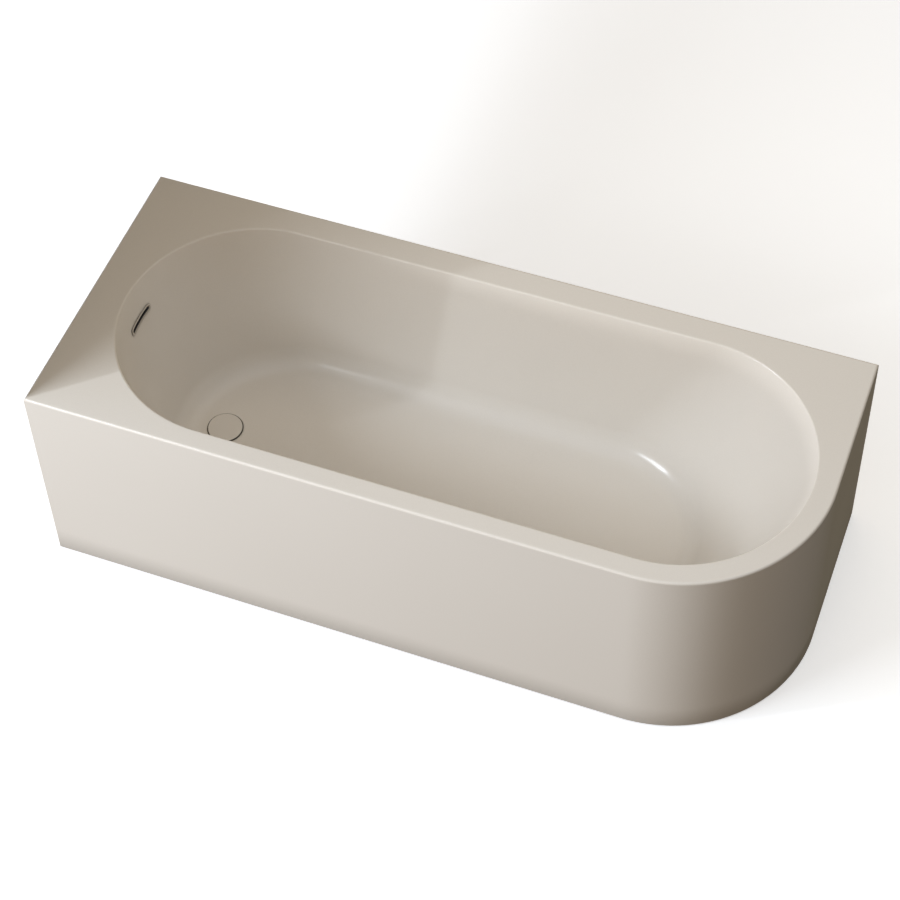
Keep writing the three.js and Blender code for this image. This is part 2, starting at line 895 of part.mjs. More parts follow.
// The clip's wall face is at local X 0, its hook reaches out along +X, and Z 0 is the lip's lower edge
function rimClip() {
  const hookInner = bath.wall + gap;
  const hookOuter = hookInner + wallClip.thickness;
  const shelf = -gap - wallClip.thickness;
  const profile = new THREE.Shape();
  profile.moveTo(0, -wallClip.plateHeight);
  profile.lineTo(wallClip.thickness, -wallClip.plateHeight);
  profile.lineTo(wallClip.thickness, shelf);
  profile.lineTo(hookOuter, shelf);
  profile.lineTo(hookOuter, wallClip.hookHeight);
  profile.lineTo(hookInner, wallClip.hookHeight);
  profile.lineTo(hookInner, -gap);
  profile.lineTo(0, -gap);
  profile.closePath();
  const body = extrude(profile, wallClip.width);
  body.rotateX(Math.PI / 2);
  body.translate(0, wallClip.width / 2, 0);
  const hole = rod(wallClip.holeRadius, -overrun, wallClip.thickness + overrun, smallSides);
  hole.rotateY(Math.PI / 2);
  hole.translate(0, 0, -wallClip.holeDrop);
  return cut(body, hole);
}

function buildWallClips() {
  const backPlacesX = [drainEnd + wallClip.fromDrainEnd, backrestEnd - wallClip.fromBackrestEnd];
  backPlacesX.forEach((x, index) => {
    const clip = rimClip();
    clip.rotateZ(-Math.PI / 2);
    clip.translate(x, backWall, lipUnder);
    add(`wall_clip_${index + 1}`, clip, zincSteel);
  });
  const clip = rimClip();
  clip.translate(drainEnd, backWall - wallClip.fromBackWall, lipUnder);
  add(`wall_clip_${backPlacesX.length + 1}`, clip, zincSteel);
}
buildWallClips();

// Waste: the flange in the floor, the plug on its click cartridge, and the body below

const flangeLow = floorTop + gap;
const flangeTop = flangeLow + drain.flangeThickness;
const seatZ = flangeTop - drain.seatDrop;
const bossTop = floorTop - drain.bossDrop;
const bossLow = bossTop - drain.bossHeight;
const neckLow = floorTop - drain.neckLength;

function atDrain(geometry) {
  geometry.translate(drainX, centreY, 0);
  return geometry;
}

function wasteFlange() {
  const ring = revolve([
    [drain.boreRadius, neckLow],
    [drain.neckRadius, neckLow],
    [drain.neckRadius, flangeLow],
    [drain.flangeRadius, flangeLow],
    [drain.flangeRadius, flangeTop - drain.flangeChamfer],
    [drain.flangeRadius - drain.flangeChamfer, flangeTop],
    [drain.seatRadius, flangeTop],
    [drain.seatRadius - drain.seatDrop, seatZ],
    [drain.boreRadius + drain.flangeChamfer, seatZ],
    [drain.boreRadius, seatZ - drain.flangeChamfer],
    [drain.boreRadius, neckLow],
  ], drainSides);
  const boss = rod(drain.bossRadius, bossLow, bossTop);
  const spokes = [];
  for (let i = 0; i < drainSpokeCount; i += 1) {
    const reach = (drain.boreRadius + drain.neckRadius) / 2;
    const spoke = block(reach, drain.spokeWidth, bossLow, bossTop);
    spoke.translate(reach / 2, 0, 0);
    spoke.rotateZ(i / drainSpokeCount * Math.PI * 2);
    spokes.push(spoke);
  }
  const bore = rod(cartridge.radius + gap, bossLow - overrun, bossTop + overrun);
  return atDrain(cut(join(ring, boss, ...spokes), bore));
}

const cartridgeTop = bossTop + gap + cartridge.collarHeight;
const cartridgeLow = bossTop + gap - cartridge.length;
const cavityLow = cartridgeLow + cartridge.wall;
const cavityTop = cartridgeTop - cartridge.collarHeight - cartridge.wall;
const headLow = cavityLow + cartridge.springRoom;

function plugCartridge() {
  const inner = cartridge.radius - cartridge.wall;
  const shaftBore = plug.shaftRadius + cartridge.shaftClearance;
  return atDrain(revolve([
    [0, cartridgeLow],
    [cartridge.radius, cartridgeLow],
    [cartridge.radius, bossTop + gap],
    [cartridge.collarRadius, bossTop + gap],
    [cartridge.collarRadius, cartridgeTop],
    [shaftBore, cartridgeTop],
    [shaftBore, cavityTop],
    [inner, cavityTop],
    [inner, cavityLow],
    [0, cavityLow],
  ]));
}

const plugTop = floorTop + plug.top;
const plugUnder = plugTop - plug.dome - plug.thickness;
const hubLow = plugUnder - plug.hubLength;

function plugCap() {
  const edgeTop = plugTop - plug.dome;
  const skirtLow = flangeTop + gap;
  return atDrain(revolve([
    [0, plugTop],
    [plug.radius / 2, plugTop - plug.dome / 4],
    [plug.radius - plug.edgeRadius, edgeTop],
    [plug.radius - plug.edgeRadius / 4, edgeTop - plug.edgeRadius / 4],
    [plug.radius, edgeTop - plug.edgeRadius],
    [plug.radius, skirtLow],
    [plug.radius - plug.skirtWall, skirtLow],
    [plug.radius - plug.skirtWall, plugUnder],
    [plug.hubRadius, plugUnder],
    [plug.hubRadius, hubLow],
    [0, hubLow],
  ].reverse(), drainSides));
}

function plugStem() {
  const shaft = rod(plug.shaftRadius, headLow + plug.headHeight / 2, hubLow - gap, smallSides);
  const head = rod(plug.headRadius, headLow, headLow + plug.headHeight, smallSides);
  return atDrain(join(shaft, head));
}

// One unbroken wire, wound as a helix between the cartridge's floor and the stem's head
class Helix extends THREE.Curve {
  constructor(radius, low, high, turns) {
    super();
    this.radius = radius;
    this.low = low;
    this.high = high;
    this.turns = turns;
  }

  getPoint(share, target = new THREE.Vector3()) {
    const angle = share * this.turns * Math.PI * 2;
    const z = THREE.MathUtils.lerp(this.low, this.high, share);
    return target.set(this.radius * Math.cos(angle), this.radius * Math.sin(angle), z);
  }
}

function plugSpring() {
  const low = cavityLow + gap + spring.wireRadius;
  const high = headLow - gap - spring.wireRadius;
  const helix = new Helix(spring.coilRadius, low, high, springTurnCount);
  const steps = springTurnCount * springStepsPerTurn;
  const rings = [];
  for (let i = 0; i <= steps; i += 1) {
    const point = helix.getPoint(i / steps);
    const outward = new THREE.Vector3(point.x, point.y, 0).normalize();
    rings.push(ringAt(point, helix.getTangent(i / steps), outward, spring.wireRadius, springSides));
  }
  return atDrain(loft(rings, false));
}

const gasketTop = floorUnder - gap;
const bodyTop = gasketTop - waste.gasketThickness - gap;
const cupLow = bodyTop - waste.cupDepth;
const outletLow = cupLow - waste.outletLength;
const inletZ = bodyTop - waste.inletDrop;

function wasteBody() {
  const cupInner = waste.cupRadius - waste.cupWall;
  const cup = revolve([
    [waste.outletRadius - waste.pipeWall, outletLow],
    [waste.outletRadius, outletLow],
    [waste.outletRadius, cupLow],
    [waste.cupRadius, cupLow + waste.cupWall],
    [waste.cupRadius, bodyTop - waste.topThickness],
    [waste.topRadius, bodyTop - waste.topThickness],
    [waste.topRadius, bodyTop],
    [drain.neckRadius + gap, bodyTop],
    [drain.neckRadius + gap, bodyTop - waste.topThickness],
    [cupInner, bodyTop - waste.topThickness],
    [cupInner, cupLow + 2 * waste.cupWall],
    [waste.outletRadius - waste.pipeWall, cupLow + waste.cupWall],
    [waste.outletRadius - waste.pipeWall, outletLow],
  ], drainSides);
  const inlet = rod(overflow.spigotRadius, -waste.inletLength, -(cupInner + waste.cupWall / 2));
  const inletBore = rod(overflow.spigotRadius - overflow.spigotWall, -waste.inletLength - overrun, -drain.neckRadius);
  for (const piece of [inlet, inletBore]) {
    piece.rotateY(Math.PI / 2);
    piece.translate(0, 0, inletZ);
  }
  return atDrain(cut(join(cup, inlet), inletBore));
}

// A union nut with finger lugs, its bore clear of the pipe it turns on
function unionNutAround(radius) {
  const outer = radius + unionNut.clearance + unionNut.wall;
  const plan = new THREE.Shape();
  const corners = unionNutLugCount * unionNutLugPoints;
  for (let i = 0; i < corners; i += 1) {
    const angle = i / corners * Math.PI * 2;
    const onLug = i % unionNutLugPoints < unionNutLugPoints / 2;
    const reach = onLug ? outer : outer - unionNut.lugDepth;
    const place = [reach * Math.cos(angle), reach * Math.sin(angle)];
    if (i === 0) {
      plan.moveTo(...place);
    } else {
      plan.lineTo(...place);
    }
  }
  plan.closePath();
  const bore = new THREE.Path();
  bore.absarc(0, 0, radius + unionNut.clearance, 0, Math.PI * 2, true);
  plan.holes.push(bore);
  return extrude(plan, unionNut.length, roundSides);
}

const trapTop = outletLow - gap;
const trapBendZ = trapTop - trap.inletStraight;
const trapOutZ = trapBendZ + trap.riseRadius;
const riserY = centreY + 2 * trap.bendRadius;
const trapEndY = riserY + trap.riseRadius + trap.outletStraight;
const down = alongZ.clone().negate();
const towardFront = alongY.clone().negate();

function trapBody() {
  const point = (y, z) => new THREE.Vector3(drainX, y, z);
  const bendCentre = point(centreY + trap.bendRadius, trapBendZ);
  const riseCentre = point(riserY + trap.riseRadius, trapBendZ);
  const tube = pipe([
    new THREE.LineCurve3(point(centreY, trapTop), point(centreY, trapBendZ)),
    new Bend(bendCentre, trap.bendRadius, towardFront, down),
    new Bend(bendCentre, trap.bendRadius, down, alongY),
    new Bend(riseCentre, trap.riseRadius, towardFront, alongZ),
    new THREE.LineCurve3(point(riserY + trap.riseRadius, trapOutZ), point(trapEndY, trapOutZ)),
  ], alongX, waste.outletRadius, waste.pipeWall);
  const stubEnd = waste.outletRadius + trap.plugStub;
  const stub = rod(trap.plugRadius, waste.outletRadius / 2, stubEnd);
  const stubBore = rod(trap.plugRadius - waste.pipeWall, 0, stubEnd + overrun);
  const inside = pipe([
    new Bend(bendCentre, trap.bendRadius, towardFront, down),
    new Bend(bendCentre, trap.bendRadius, down, alongY),
  ], alongX, waste.outletRadius - waste.pipeWall, (waste.outletRadius - waste.pipeWall) / 2);
  for (const piece of [stub, stubBore]) {
    piece.rotateY(-Math.PI / 2);
    piece.translate(drainX, centreY + trap.bendRadius, trapBendZ - trap.bendRadius);
  }
  return cut(join(tube, stub), stubBore, inside);
}

function trapPlug() {
  const stubEnd = waste.outletRadius + trap.plugStub;
  const inner = trap.plugRadius + gap;
  const cap = revolve([
    [0, stubEnd + gap],
    [inner, stubEnd + gap],
    [inner, stubEnd - trap.plugStub / 2],
    [trap.plugCapRadius, stubEnd - trap.plugStub / 2],
    [trap.plugCapRadius, stubEnd + gap + trap.plugCapWall],
    [0, stubEnd + gap + trap.plugCapWall],
  ]);
  const grip = block(trap.plugCapRadius, trap.plugCapWall, stubEnd + gap, stubEnd + trap.plugCapLength);
  const geometry = join(cap, grip);
  geometry.rotateY(-Math.PI / 2);
  geometry.translate(drainX, centreY + trap.bendRadius, trapBendZ - trap.bendRadius);
  return geometry;
}

function outletPipe() {
  const [start, end] = [trapEndY + gap, backWall - trap.wallStandoff];
  const geometry = sleeve(waste.outletRadius - waste.pipeWall, waste.outletRadius, start, end);
  geometry.rotateX(-Math.PI / 2);
  geometry.translate(drainX, 0, trapOutZ);
  return geometry;
}

function buildWaste() {
  add("waste_flange", wasteFlange(), cream);
  add("plug_cap", plugCap(), cream);
  const sealTop = plugUnder - gap;
  const seal = sleeve(plug.sealInner, plug.sealOuter, seatZ + gap, sealTop, drainSides);
  add("plug_seal", atDrain(seal), rubber);
  add("plug_stem", plugStem(), brightSteel);
  add("plug_cartridge", plugCartridge(), whitePlastic);
  add("plug_spring", plugSpring(), brightSteel);
  const gasketLow = gasketTop - waste.gasketThickness;
  const gasket = sleeve(drain.neckRadius + gap, waste.gasketRadius, gasketLow, gasketTop, drainSides);
  add("waste_gasket", atDrain(gasket), rubber);
  add("waste_body", wasteBody(), whitePlastic);
  const inletNut = unionNutAround(waste.outletRadius);
  inletNut.translate(drainX, centreY, trapTop - unionNut.length / 2);
  add("trap_inlet_nut", inletNut, greyPlastic);
  add("trap_body", trapBody(), whitePlastic);
  add("trap_plug", trapPlug(), greyPlastic);
  const outletNut = unionNutAround(waste.outletRadius);
  outletNut.rotateX(-Math.PI / 2);
  outletNut.translate(drainX, trapEndY - unionNut.length / 2, trapOutZ);
  add("trap_outlet_nut", outletNut, greyPlastic);
  add("outlet_pipe", outletPipe(), greyPlastic);
}
buildWaste();

// Overflow: trim in the basin, chamber behind the wall, and the ribbed hose down to the waste

function overflowTrim() {
  const face = overflowSeat + overflow.trimThickness;
  const chamfer = 2 * overflow.trimChamfer;
  const step = face - overflow.trimChamfer;
  return loft([
    slotLoop(overflow.trimLength - chamfer, overflow.trimHeight - chamfer, face),
    slotLoop(overflow.trimLength, overflow.trimHeight, step),
    slotLoop(overflow.trimLength, overflow.trimHeight, overflowSeat),
    slotLoop(tailLength, tailHeight, overflowSeat),
    slotLoop(tailLength, tailHeight, -overflow.tailLength),
    slotLoop(overflow.slotLength, overflow.slotHeight, -overflow.tailLength),
    slotLoop(overflow.slotLength, overflow.slotHeight, face),
  ], true);
}

const overflowGasketFace = -bath.wall - gap;
const chamberFace = overflowGasketFace - overflow.gasketThickness - gap;

function overflowGasket() {
  const back = overflowGasketFace - overflow.gasketThickness;
  return loft([
    slotLoop(overflow.flangeLength, overflow.flangeHeight, overflowGasketFace),
    slotLoop(overflow.flangeLength, overflow.flangeHeight, back),
    slotLoop(holeLength, holeHeight, back),
    slotLoop(holeLength, holeHeight, overflowGasketFace),
  ], true);
}

const spigotX = overflowX - overflow.spigotBack * Math.cos(drainEndLean);
const spigotTop = overflowZ - overflow.spigotBack * Math.sin(drainEndLean);
const spigotLow = spigotTop - overflow.spigotLength;

function overflowBody() {
  const flangeBack = chamberFace - overflow.flangeThickness;
  const chamberBack = -overflow.chamberDepth;
  const innerLength = overflow.chamberLength - 2 * overflow.chamberWall;
  const innerHeight = overflow.chamberHeight - 2 * overflow.chamberWall;
  const box = loft([
    slotLoop(overflow.chamberLength, overflow.chamberHeight, chamberBack),
    slotLoop(overflow.chamberLength, overflow.chamberHeight, flangeBack - overflow.fitClearance),
    slotLoop(overflow.flangeLength, overflow.flangeHeight, flangeBack),
    slotLoop(overflow.flangeLength, overflow.flangeHeight, chamberFace),
    slotLoop(holeLength, holeHeight, chamberFace),
    slotLoop(holeLength, holeHeight, flangeBack),
    slotLoop(innerLength, innerHeight, flangeBack - overflow.fitClearance),
    slotLoop(innerLength, innerHeight, chamberBack + overflow.chamberWall),
  ], false);
  ontoDrainEndWall(box);
  const wallZ = spigotTop - overflow.chamberHeight / 2 + overflow.chamberWall / 2;
  const spigot = rod(overflow.spigotRadius, spigotLow, wallZ);
  const bore = rod(overflow.spigotRadius - overflow.spigotWall, spigotLow - overrun, spigotTop);
  spigot.translate(spigotX, centreY, 0);
  bore.translate(spigotX, centreY, 0);
  return cut(join(box, spigot), bore);
}

function hoseRoute() {
  const point = (x, z) => new THREE.Vector3(x, centreY, z);
  const endX = drainX - waste.inletLength + hose.overlap;
  const bendX = spigotX + hose.bendRadius;
  const bendZ = inletZ + hose.bendRadius;
  const towardWall = alongX.clone().negate();
  const route = new THREE.CurvePath();
  route.add(new THREE.LineCurve3(point(spigotX, spigotLow + hose.overlap), point(spigotX, bendZ)));
  route.add(new Bend(point(bendX, bendZ), hose.bendRadius, towardWall, down));
  route.add(new THREE.LineCurve3(point(bendX, inletZ), point(endX, inletZ)));
  return route;
}

// The outside has a crest and a valley for each rib, and the bore a ring every few ribs
function overflowHose() {
  const route = hoseRoute();
  const total = route.getLength();
  const ribCount = Math.floor((total - 2 * hose.cuffLength) / hose.ribPitch);
  const cuff = (total - ribCount * hose.ribPitch) / 2;
  const at = (distance, radius) => {
    const share = THREE.MathUtils.clamp(distance / total, 0, 1);
    return ringAt(route.getPointAt(share), route.getTangentAt(share), alongY, radius, hoseSideCount);
  };
  const outside = [at(0, hose.valleyRadius)];
  for (let i = 0; i < ribCount; i += 1) {
    outside.push(at(cuff + i * hose.ribPitch, hose.valleyRadius));
    outside.push(at(cuff + (i + 1 / 2) * hose.ribPitch, hose.ribRadius));
  }
  outside.push(at(total - cuff, hose.valleyRadius), at(total, hose.valleyRadius));
  const inside = [at(0, hose.boreRadius)];
  for (let i = 0; i <= ribCount; i += ribsPerBoreRing) {
    inside.push(at(cuff + i * hose.ribPitch, hose.boreRadius));
  }
  inside.push(at(total, hose.boreRadius));
  return loftBetween(outside, inside);
}

// A tube whose outside and bore have different numbers of rings, closed by a flat ring at each end
function loftBetween(outside, inside) {
  const count = outside[0].length;
  const points = [...outside, ...inside].flat();
  const faces = [];
  const band = (low, high) => {
    for (let i = 0; i < count; i += 1) {
      const next = (i + 1) % count;
      faces.push(low + i, low + next, high + next);
      faces.push(low + i, high + next, high + i);
    }
  };
  const insideStart = outside.length * count;
  for (let k = 0; k < outside.length - 1; k += 1) {
    band(k * count, (k + 1) * count);
  }
  for (let k = 0; k < inside.length - 1; k += 1) {
    band(insideStart + (k + 1) * count, insideStart + k * count);
  }
  band((outside.length - 1) * count, insideStart + (inside.length - 1) * count);
  band(insideStart, 0);
  return skin(points, faces);
}

function buildOverflow() {
  add("overflow_trim", ontoDrainEndWall(overflowTrim()), acrylic);
  add("overflow_gasket", ontoDrainEndWall(overflowGasket()), rubber);
  add("overflow_body", overflowBody(), whitePlastic);
  add("overflow_hose", overflowHose(), greyPlastic);
  const topNut = unionNutAround(hose.valleyRadius);
  topNut.translate(spigotX, centreY, spigotLow - gap);
  add("hose_nut_top", topNut, blackPlastic);
  const lowNut = unionNutAround(hose.valleyRadius);
  lowNut.rotateY(Math.PI / 2);
  lowNut.translate(drainX - waste.inletLength, centreY, inletZ);
  add("hose_nut_bottom", lowNut, blackPlastic);
}
buildOverflow();

export default group;
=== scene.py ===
import math

import bmesh
import bpy
from mathutils import Matrix, Vector


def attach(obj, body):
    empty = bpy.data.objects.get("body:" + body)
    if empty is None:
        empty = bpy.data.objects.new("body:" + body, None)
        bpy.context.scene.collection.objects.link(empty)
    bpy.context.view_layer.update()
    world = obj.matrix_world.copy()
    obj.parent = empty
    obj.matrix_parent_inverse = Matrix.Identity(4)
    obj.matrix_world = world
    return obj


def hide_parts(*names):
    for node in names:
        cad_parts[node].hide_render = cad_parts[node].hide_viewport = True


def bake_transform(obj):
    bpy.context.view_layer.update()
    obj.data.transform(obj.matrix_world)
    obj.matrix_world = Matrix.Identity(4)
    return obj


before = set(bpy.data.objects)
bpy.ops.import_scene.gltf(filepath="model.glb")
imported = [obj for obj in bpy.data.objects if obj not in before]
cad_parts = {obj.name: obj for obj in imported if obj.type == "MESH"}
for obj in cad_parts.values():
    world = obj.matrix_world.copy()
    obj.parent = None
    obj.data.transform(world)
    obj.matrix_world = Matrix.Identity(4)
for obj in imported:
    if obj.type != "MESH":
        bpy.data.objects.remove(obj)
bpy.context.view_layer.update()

# All the sizes are in millimetres, as a maker of baths writes them. A finished piece is brought to metres.
# Points closer than NEAR are one point, neighbours stand GAP apart, and forms of one piece share OVERLAP.
METRE = 0.001
NEAR = 1e-4
GAP = 0.3
OVERLAP = 1.0

# The bath's body
LENGTH, WIDTH, HEIGHT = 1700.0, 700.0, 554.0
WALL = 6.0
CORNER_RADIUS = 343.0
EDGE_RADIUS = 5.4
LIP_UNDER = 514.0
RIM_FRONT, RIM_BACK, RIM_DRAIN, RIM_BACKREST = 48.0, 63.0, 86.0, 50.0
RIM_ROUNDING = 5.0
FLOOR_TOP = 153.0
FLOOR_FALL = 6.0
FLOOR_FILLET = 60.0
SIDE_LEAN, DRAIN_LEAN, BACKREST_LEAN = (math.radians(d) for d in (6.0, 13.5, 31.5))
APRON_THICKNESS = 6.0
APRON_LOW = 3.0
APRON_RETURN = 30.0
BOND_FLANGE_WIDTH, BOND_FLANGE_THICKNESS = 25.0, 6.0

FRONT, BACK = -WIDTH / 2, WIDTH / 2
LEFT, RIGHT = -LENGTH / 2, LENGTH / 2
HALF = (WIDTH - RIM_FRONT - RIM_BACK) / 2
MIDDLE_Y = FRONT + RIM_FRONT + HALF
BASIN_LEFT, BASIN_RIGHT = LEFT + RIM_DRAIN, RIGHT - RIM_BACKREST
DEPTH = HEIGHT - FLOOR_TOP
DECK_UNDER = HEIGHT - WALL
FLOOR_UNDER = FLOOR_TOP - WALL
DRAIN_X = BASIN_LEFT + 196.0
CORNER_X, CORNER_Y = RIGHT - CORNER_RADIUS, FRONT + CORNER_RADIUS

# The overflow and its hose
OVERFLOW_DROP = 77.0
OVERFLOW_SEAT = 0.75
TRIM_LENGTH, TRIM_HEIGHT, TRIM_THICKNESS, TRIM_EASE = 94.0, 21.0, 2.6, 1.5
SLOT_LENGTH, SLOT_HEIGHT = 76.0, 5.0
MOUTH_LENGTH, MOUTH_HEIGHT, MOUTH_DEPTH = 87.0, 14.0, 1.9
THROAT_LENGTH, THROAT_HEIGHT = 81.0, 8.0
TAIL_WALL, TAIL_LENGTH = 1.8, 18.0
SHADOW_GAP = 1.4
TAIL_OUTER_LENGTH, TAIL_OUTER_HEIGHT = SLOT_LENGTH + 2 * TAIL_WALL, SLOT_HEIGHT + 2 * TAIL_WALL
HOLE_ROOM = 2.0
HOLE_LENGTH, HOLE_HEIGHT = TAIL_OUTER_LENGTH + HOLE_ROOM, TAIL_OUTER_HEIGHT + HOLE_ROOM
GASKET = 3.0
FLANGE_LENGTH, FLANGE_HEIGHT, FLANGE_THICKNESS, FLANGE_SLOPE = 98.0, 27.0, 3.5, 1.0
CHAMBER_LENGTH, CHAMBER_HEIGHT, CHAMBER_DEPTH, CHAMBER_WALL = 88.0, 23.0, 42.0, 2.5
SPIGOT_BACK, SPIGOT_RADIUS, SPIGOT_WALL, SPIGOT_LENGTH = 28.0, 12.0, 2.4, 34.0
SPIGOT_X = BASIN_LEFT + OVERFLOW_DROP * math.tan(DRAIN_LEAN) - SPIGOT_BACK * math.cos(DRAIN_LEAN)
SPIGOT_TOP = HEIGHT - OVERFLOW_DROP - SPIGOT_BACK * math.sin(DRAIN_LEAN)
SPIGOT_LOW = SPIGOT_TOP - SPIGOT_LENGTH
HOSE_BORE, HOSE_VALLEY, HOSE_RIB = 13.4, 15.6, 18.0
HOSE_BEND, HOSE_CUFF, HOSE_OVERLAP = 90.0, 36.0, 18.0
RIB_PITCH, RIB_FULLNESS, RIB_SHARP = 6.5, 0.6, math.radians(80)

# The waste, plug and trap
WASTE_HOLE = 26.0
FLANGE_RADIUS, FLANGE_CHAMFER = 44.0, 0.8
FLANGE_LOW = FLOOR_TOP + GAP
FLANGE_TOP = FLANGE_LOW + 2.5
GROOVE_RADIUS, GROOVE_DEPTH = 42.6, 1.2
SEAT_RADIUS, SEAT_DROP = 37.0, 1.6
SEAT_Z = FLANGE_TOP - SEAT_DROP
NECK_RADIUS, BORE_RADIUS, NECK_LOW = 25.5, 22.5, FLOOR_TOP - 30.0
BOSS_RADIUS, BOSS_TOP, BOSS_LOW = 11.0, FLOOR_TOP - 17.0, FLOOR_TOP - 27.0
SPOKES, SPOKE_WIDTH = 3, 3.0
PLUG_RADIUS, PLUG_TOP, PLUG_DOME, PLUG_EDGE = 40.0, FLOOR_TOP + 5.0, 0.5, 0.9
PLUG_UNDER = PLUG_TOP - PLUG_DOME - 1.2
PLUG_SKIRT_LOW, SKIRT_WALL = FLANGE_TOP + GAP, 1.4
HUB_RADIUS, HUB_LOW = 6.0, PLUG_UNDER - 6.0
SEAL_INNER, SEAL_OUTER = 26.0, 31.0
SHAFT_RADIUS, SHAFT_CLEARANCE, HEAD_RADIUS, HEAD_HEIGHT = 3.0, 0.4, 5.6, 3.0
CARTRIDGE_RADIUS, CARTRIDGE_WALL, COLLAR_RADIUS = 7.6, 1.6, 10.0
CARTRIDGE_TOP = BOSS_TOP + GAP + 2.6
CARTRIDGE_LOW = BOSS_TOP + GAP - 28.0
CAVITY_LOW, CAVITY_TOP = CARTRIDGE_LOW + CARTRIDGE_WALL, BOSS_TOP + GAP - CARTRIDGE_WALL
HEAD_LOW = CAVITY_LOW + 8.0
WIRE_RADIUS, COIL_RADIUS, SPRING_TURNS = 0.6, 4.8, 3
WASTE_GASKET, WASTE_GASKET_RADIUS = 4.8, 42.0
GASKET_TOP = FLOOR_UNDER - GAP
BODY_TOP = GASKET_TOP - WASTE_GASKET - GAP
TOP_RADIUS, TOP_THICKNESS = 43.0, 4.0
CUP_RADIUS, CUP_WALL = 34.0, 3.5
CUP_LOW = BODY_TOP - 44.0
OUTLET_RADIUS, PIPE_WALL = 20.0, 2.5
OUTLET_LOW = CUP_LOW - 13.0
INLET_Z, INLET_LENGTH = BODY_TOP - 23.0, 62.0
TRAP_TOP = OUTLET_LOW - GAP
TRAP_BEND, TRAP_RISE = 38.0, 28.0
TRAP_BEND_Z = TRAP_TOP - 14.0
TRAP_OUT_Z = TRAP_BEND_Z + TRAP_RISE
TRAP_END_Y = MIDDLE_Y + 2 * TRAP_BEND + TRAP_RISE + 16.0
STUB_RADIUS, TRAP_STUB = 15.0, 12.0
STUB_CAP_RADIUS, STUB_CAP_LENGTH, STUB_CAP_WALL = 18.0, 12.0, 2.0
WALL_STANDOFF = 5.0
NUT_WALL, NUT_LENGTH, NUT_CLEARANCE = 6.0, 18.0, 0.7
NUT_LUGS, LUG_DEPTH, LUG_STEEPNESS = 8, 1.6, 2

# The board, frame and feet
BOARD_LEFT, BOARD_RIGHT = DRAIN_X + 68.0, RIGHT - 350.0
BOARD_HALF, BOARD_CORNER, BOARD_CHAMFER = HALF - 124.5, 80.0, 1.0
BOARD_TOP = FLOOR_UNDER - GAP
BOARD_UNDER = BOARD_TOP - 15.0
TUBE, TUBE_WALL, TUBE_CORNER = 25.0, 1.8, 3.0
RAIL_UNDER = BOARD_UNDER - GAP - TUBE
RAIL_Y = (MIDDLE_Y - BOARD_HALF + 60.0, MIDDLE_Y + BOARD_HALF - 60.0)
RAIL_START, RAIL_END = 30.0, RIGHT - 50.0
BAR_TOP = RAIL_UNDER - GAP
BAR_UNDER = BAR_TOP - TUBE
BAR_FRONT, BAR_BACK = FRONT + 65.0, BACK - 80.0
BAR_X = (BOARD_LEFT + 100.0, (BOARD_LEFT + BOARD_RIGHT) / 2 + 40.0, BOARD_RIGHT - 20.0)
FOOT_Y = (BAR_FRONT + 37.5, BAR_BACK - 37.5)
PAD_RADIUS, PAD_EDGE, PAD_NECK, PAD_HEIGHT = 25.0, 3.0, 12.0, 14.0
SOCKET_RADIUS, SOCKET_FLOOR, TIP_RADIUS = 4.6, 5.0, 4.2
THREAD_RADIUS, THREAD_PITCH, THREAD_DEPTH, THREAD_CHAMFER = 6.0, 1.75, 0.9, 1.0
CREST_START, CREST_END, BORE_CLEARANCE = 0.45, 0.55, 0.5
COLLAR_FLATS, COLLAR_HEIGHT, NUT_FLATS = 17.0, 8.0, 19.0
LOCK_NUT, WELD_NUT, SPINDLE_PROUD = 7.0, 10.0, 17.9
BRACKETS, CLIPS = 4, 3


# ---- Objects, meshes and nodes ----

def in_scene(name, data):
    """An object of this data, put in the scene."""
    thing = bpy.data.objects.new(name, data)
    bpy.context.scene.collection.objects.link(thing)
    return thing


def as_mesh(name, form):
    """A form's mesh. The form itself is let go."""
    mesh = bpy.data.meshes.new(name)
    form.to_mesh(mesh)
    form.free()
    return mesh


def feed(tree, node, inputs):
    """Gives each of a node's inputs its value, or the socket that feeds it."""
    for key, value in inputs.items():
        if isinstance(value, bpy.types.NodeSocket):
            tree.links.new(value, node.inputs[key])
        else:
            node.inputs[key].default_value = value


def add_node(tree, kind, inputs=None, **settings):
    node = tree.nodes.new("ShaderNode" + kind)
    for name, value in settings.items():
        setattr(node, name, value)
    feed(tree, node, inputs or {})
    return node


# ---- Camera, floor and light ----

CAMERA_PLACE = (1.18861, -2.9709, 4.56586)
CAMERA_AZIMUTH, CAMERA_ELEVATION, CAMERA_ROLL = (math.radians(d) for d in (21.76608, 49.46555, -1.89178))
CAMERA_LENS = 95.61475
CAMERA_SHIFT = -1 / 6


def aim(azimuth, elevation, roll=0.0):
    """The turn of a camera or lamp that stands at this azimuth and elevation and looks at the middle."""
    across, level = math.cos(elevation), math.sin(elevation)
    away = Vector((math.sin(azimuth) * across, -math.cos(azimuth) * across, level))
    right = (-away).cross(Vector((0, 0, 1))).normalized()
    up = right.cross(-away)
    tilted = right * math.cos(roll) + up * math.sin(roll)
    upright = up * math.cos(roll) - right * math.sin(roll)
    return Matrix((tilted, upright, away)).transposed().to_4x4()


def make_camera():
    data = bpy.data.cameras.new("camera")
    data.lens = CAMERA_LENS
    data.shift_y = CAMERA_SHIFT
    camera = in_scene("camera", data)
    turn = aim(CAMERA_AZIMUTH, CAMERA_ELEVATION, CAMERA_ROLL)
    camera.matrix_world = Matrix.Translation(CAMERA_PLACE) @ turn
    bpy.context.scene.camera = camera


make_camera()


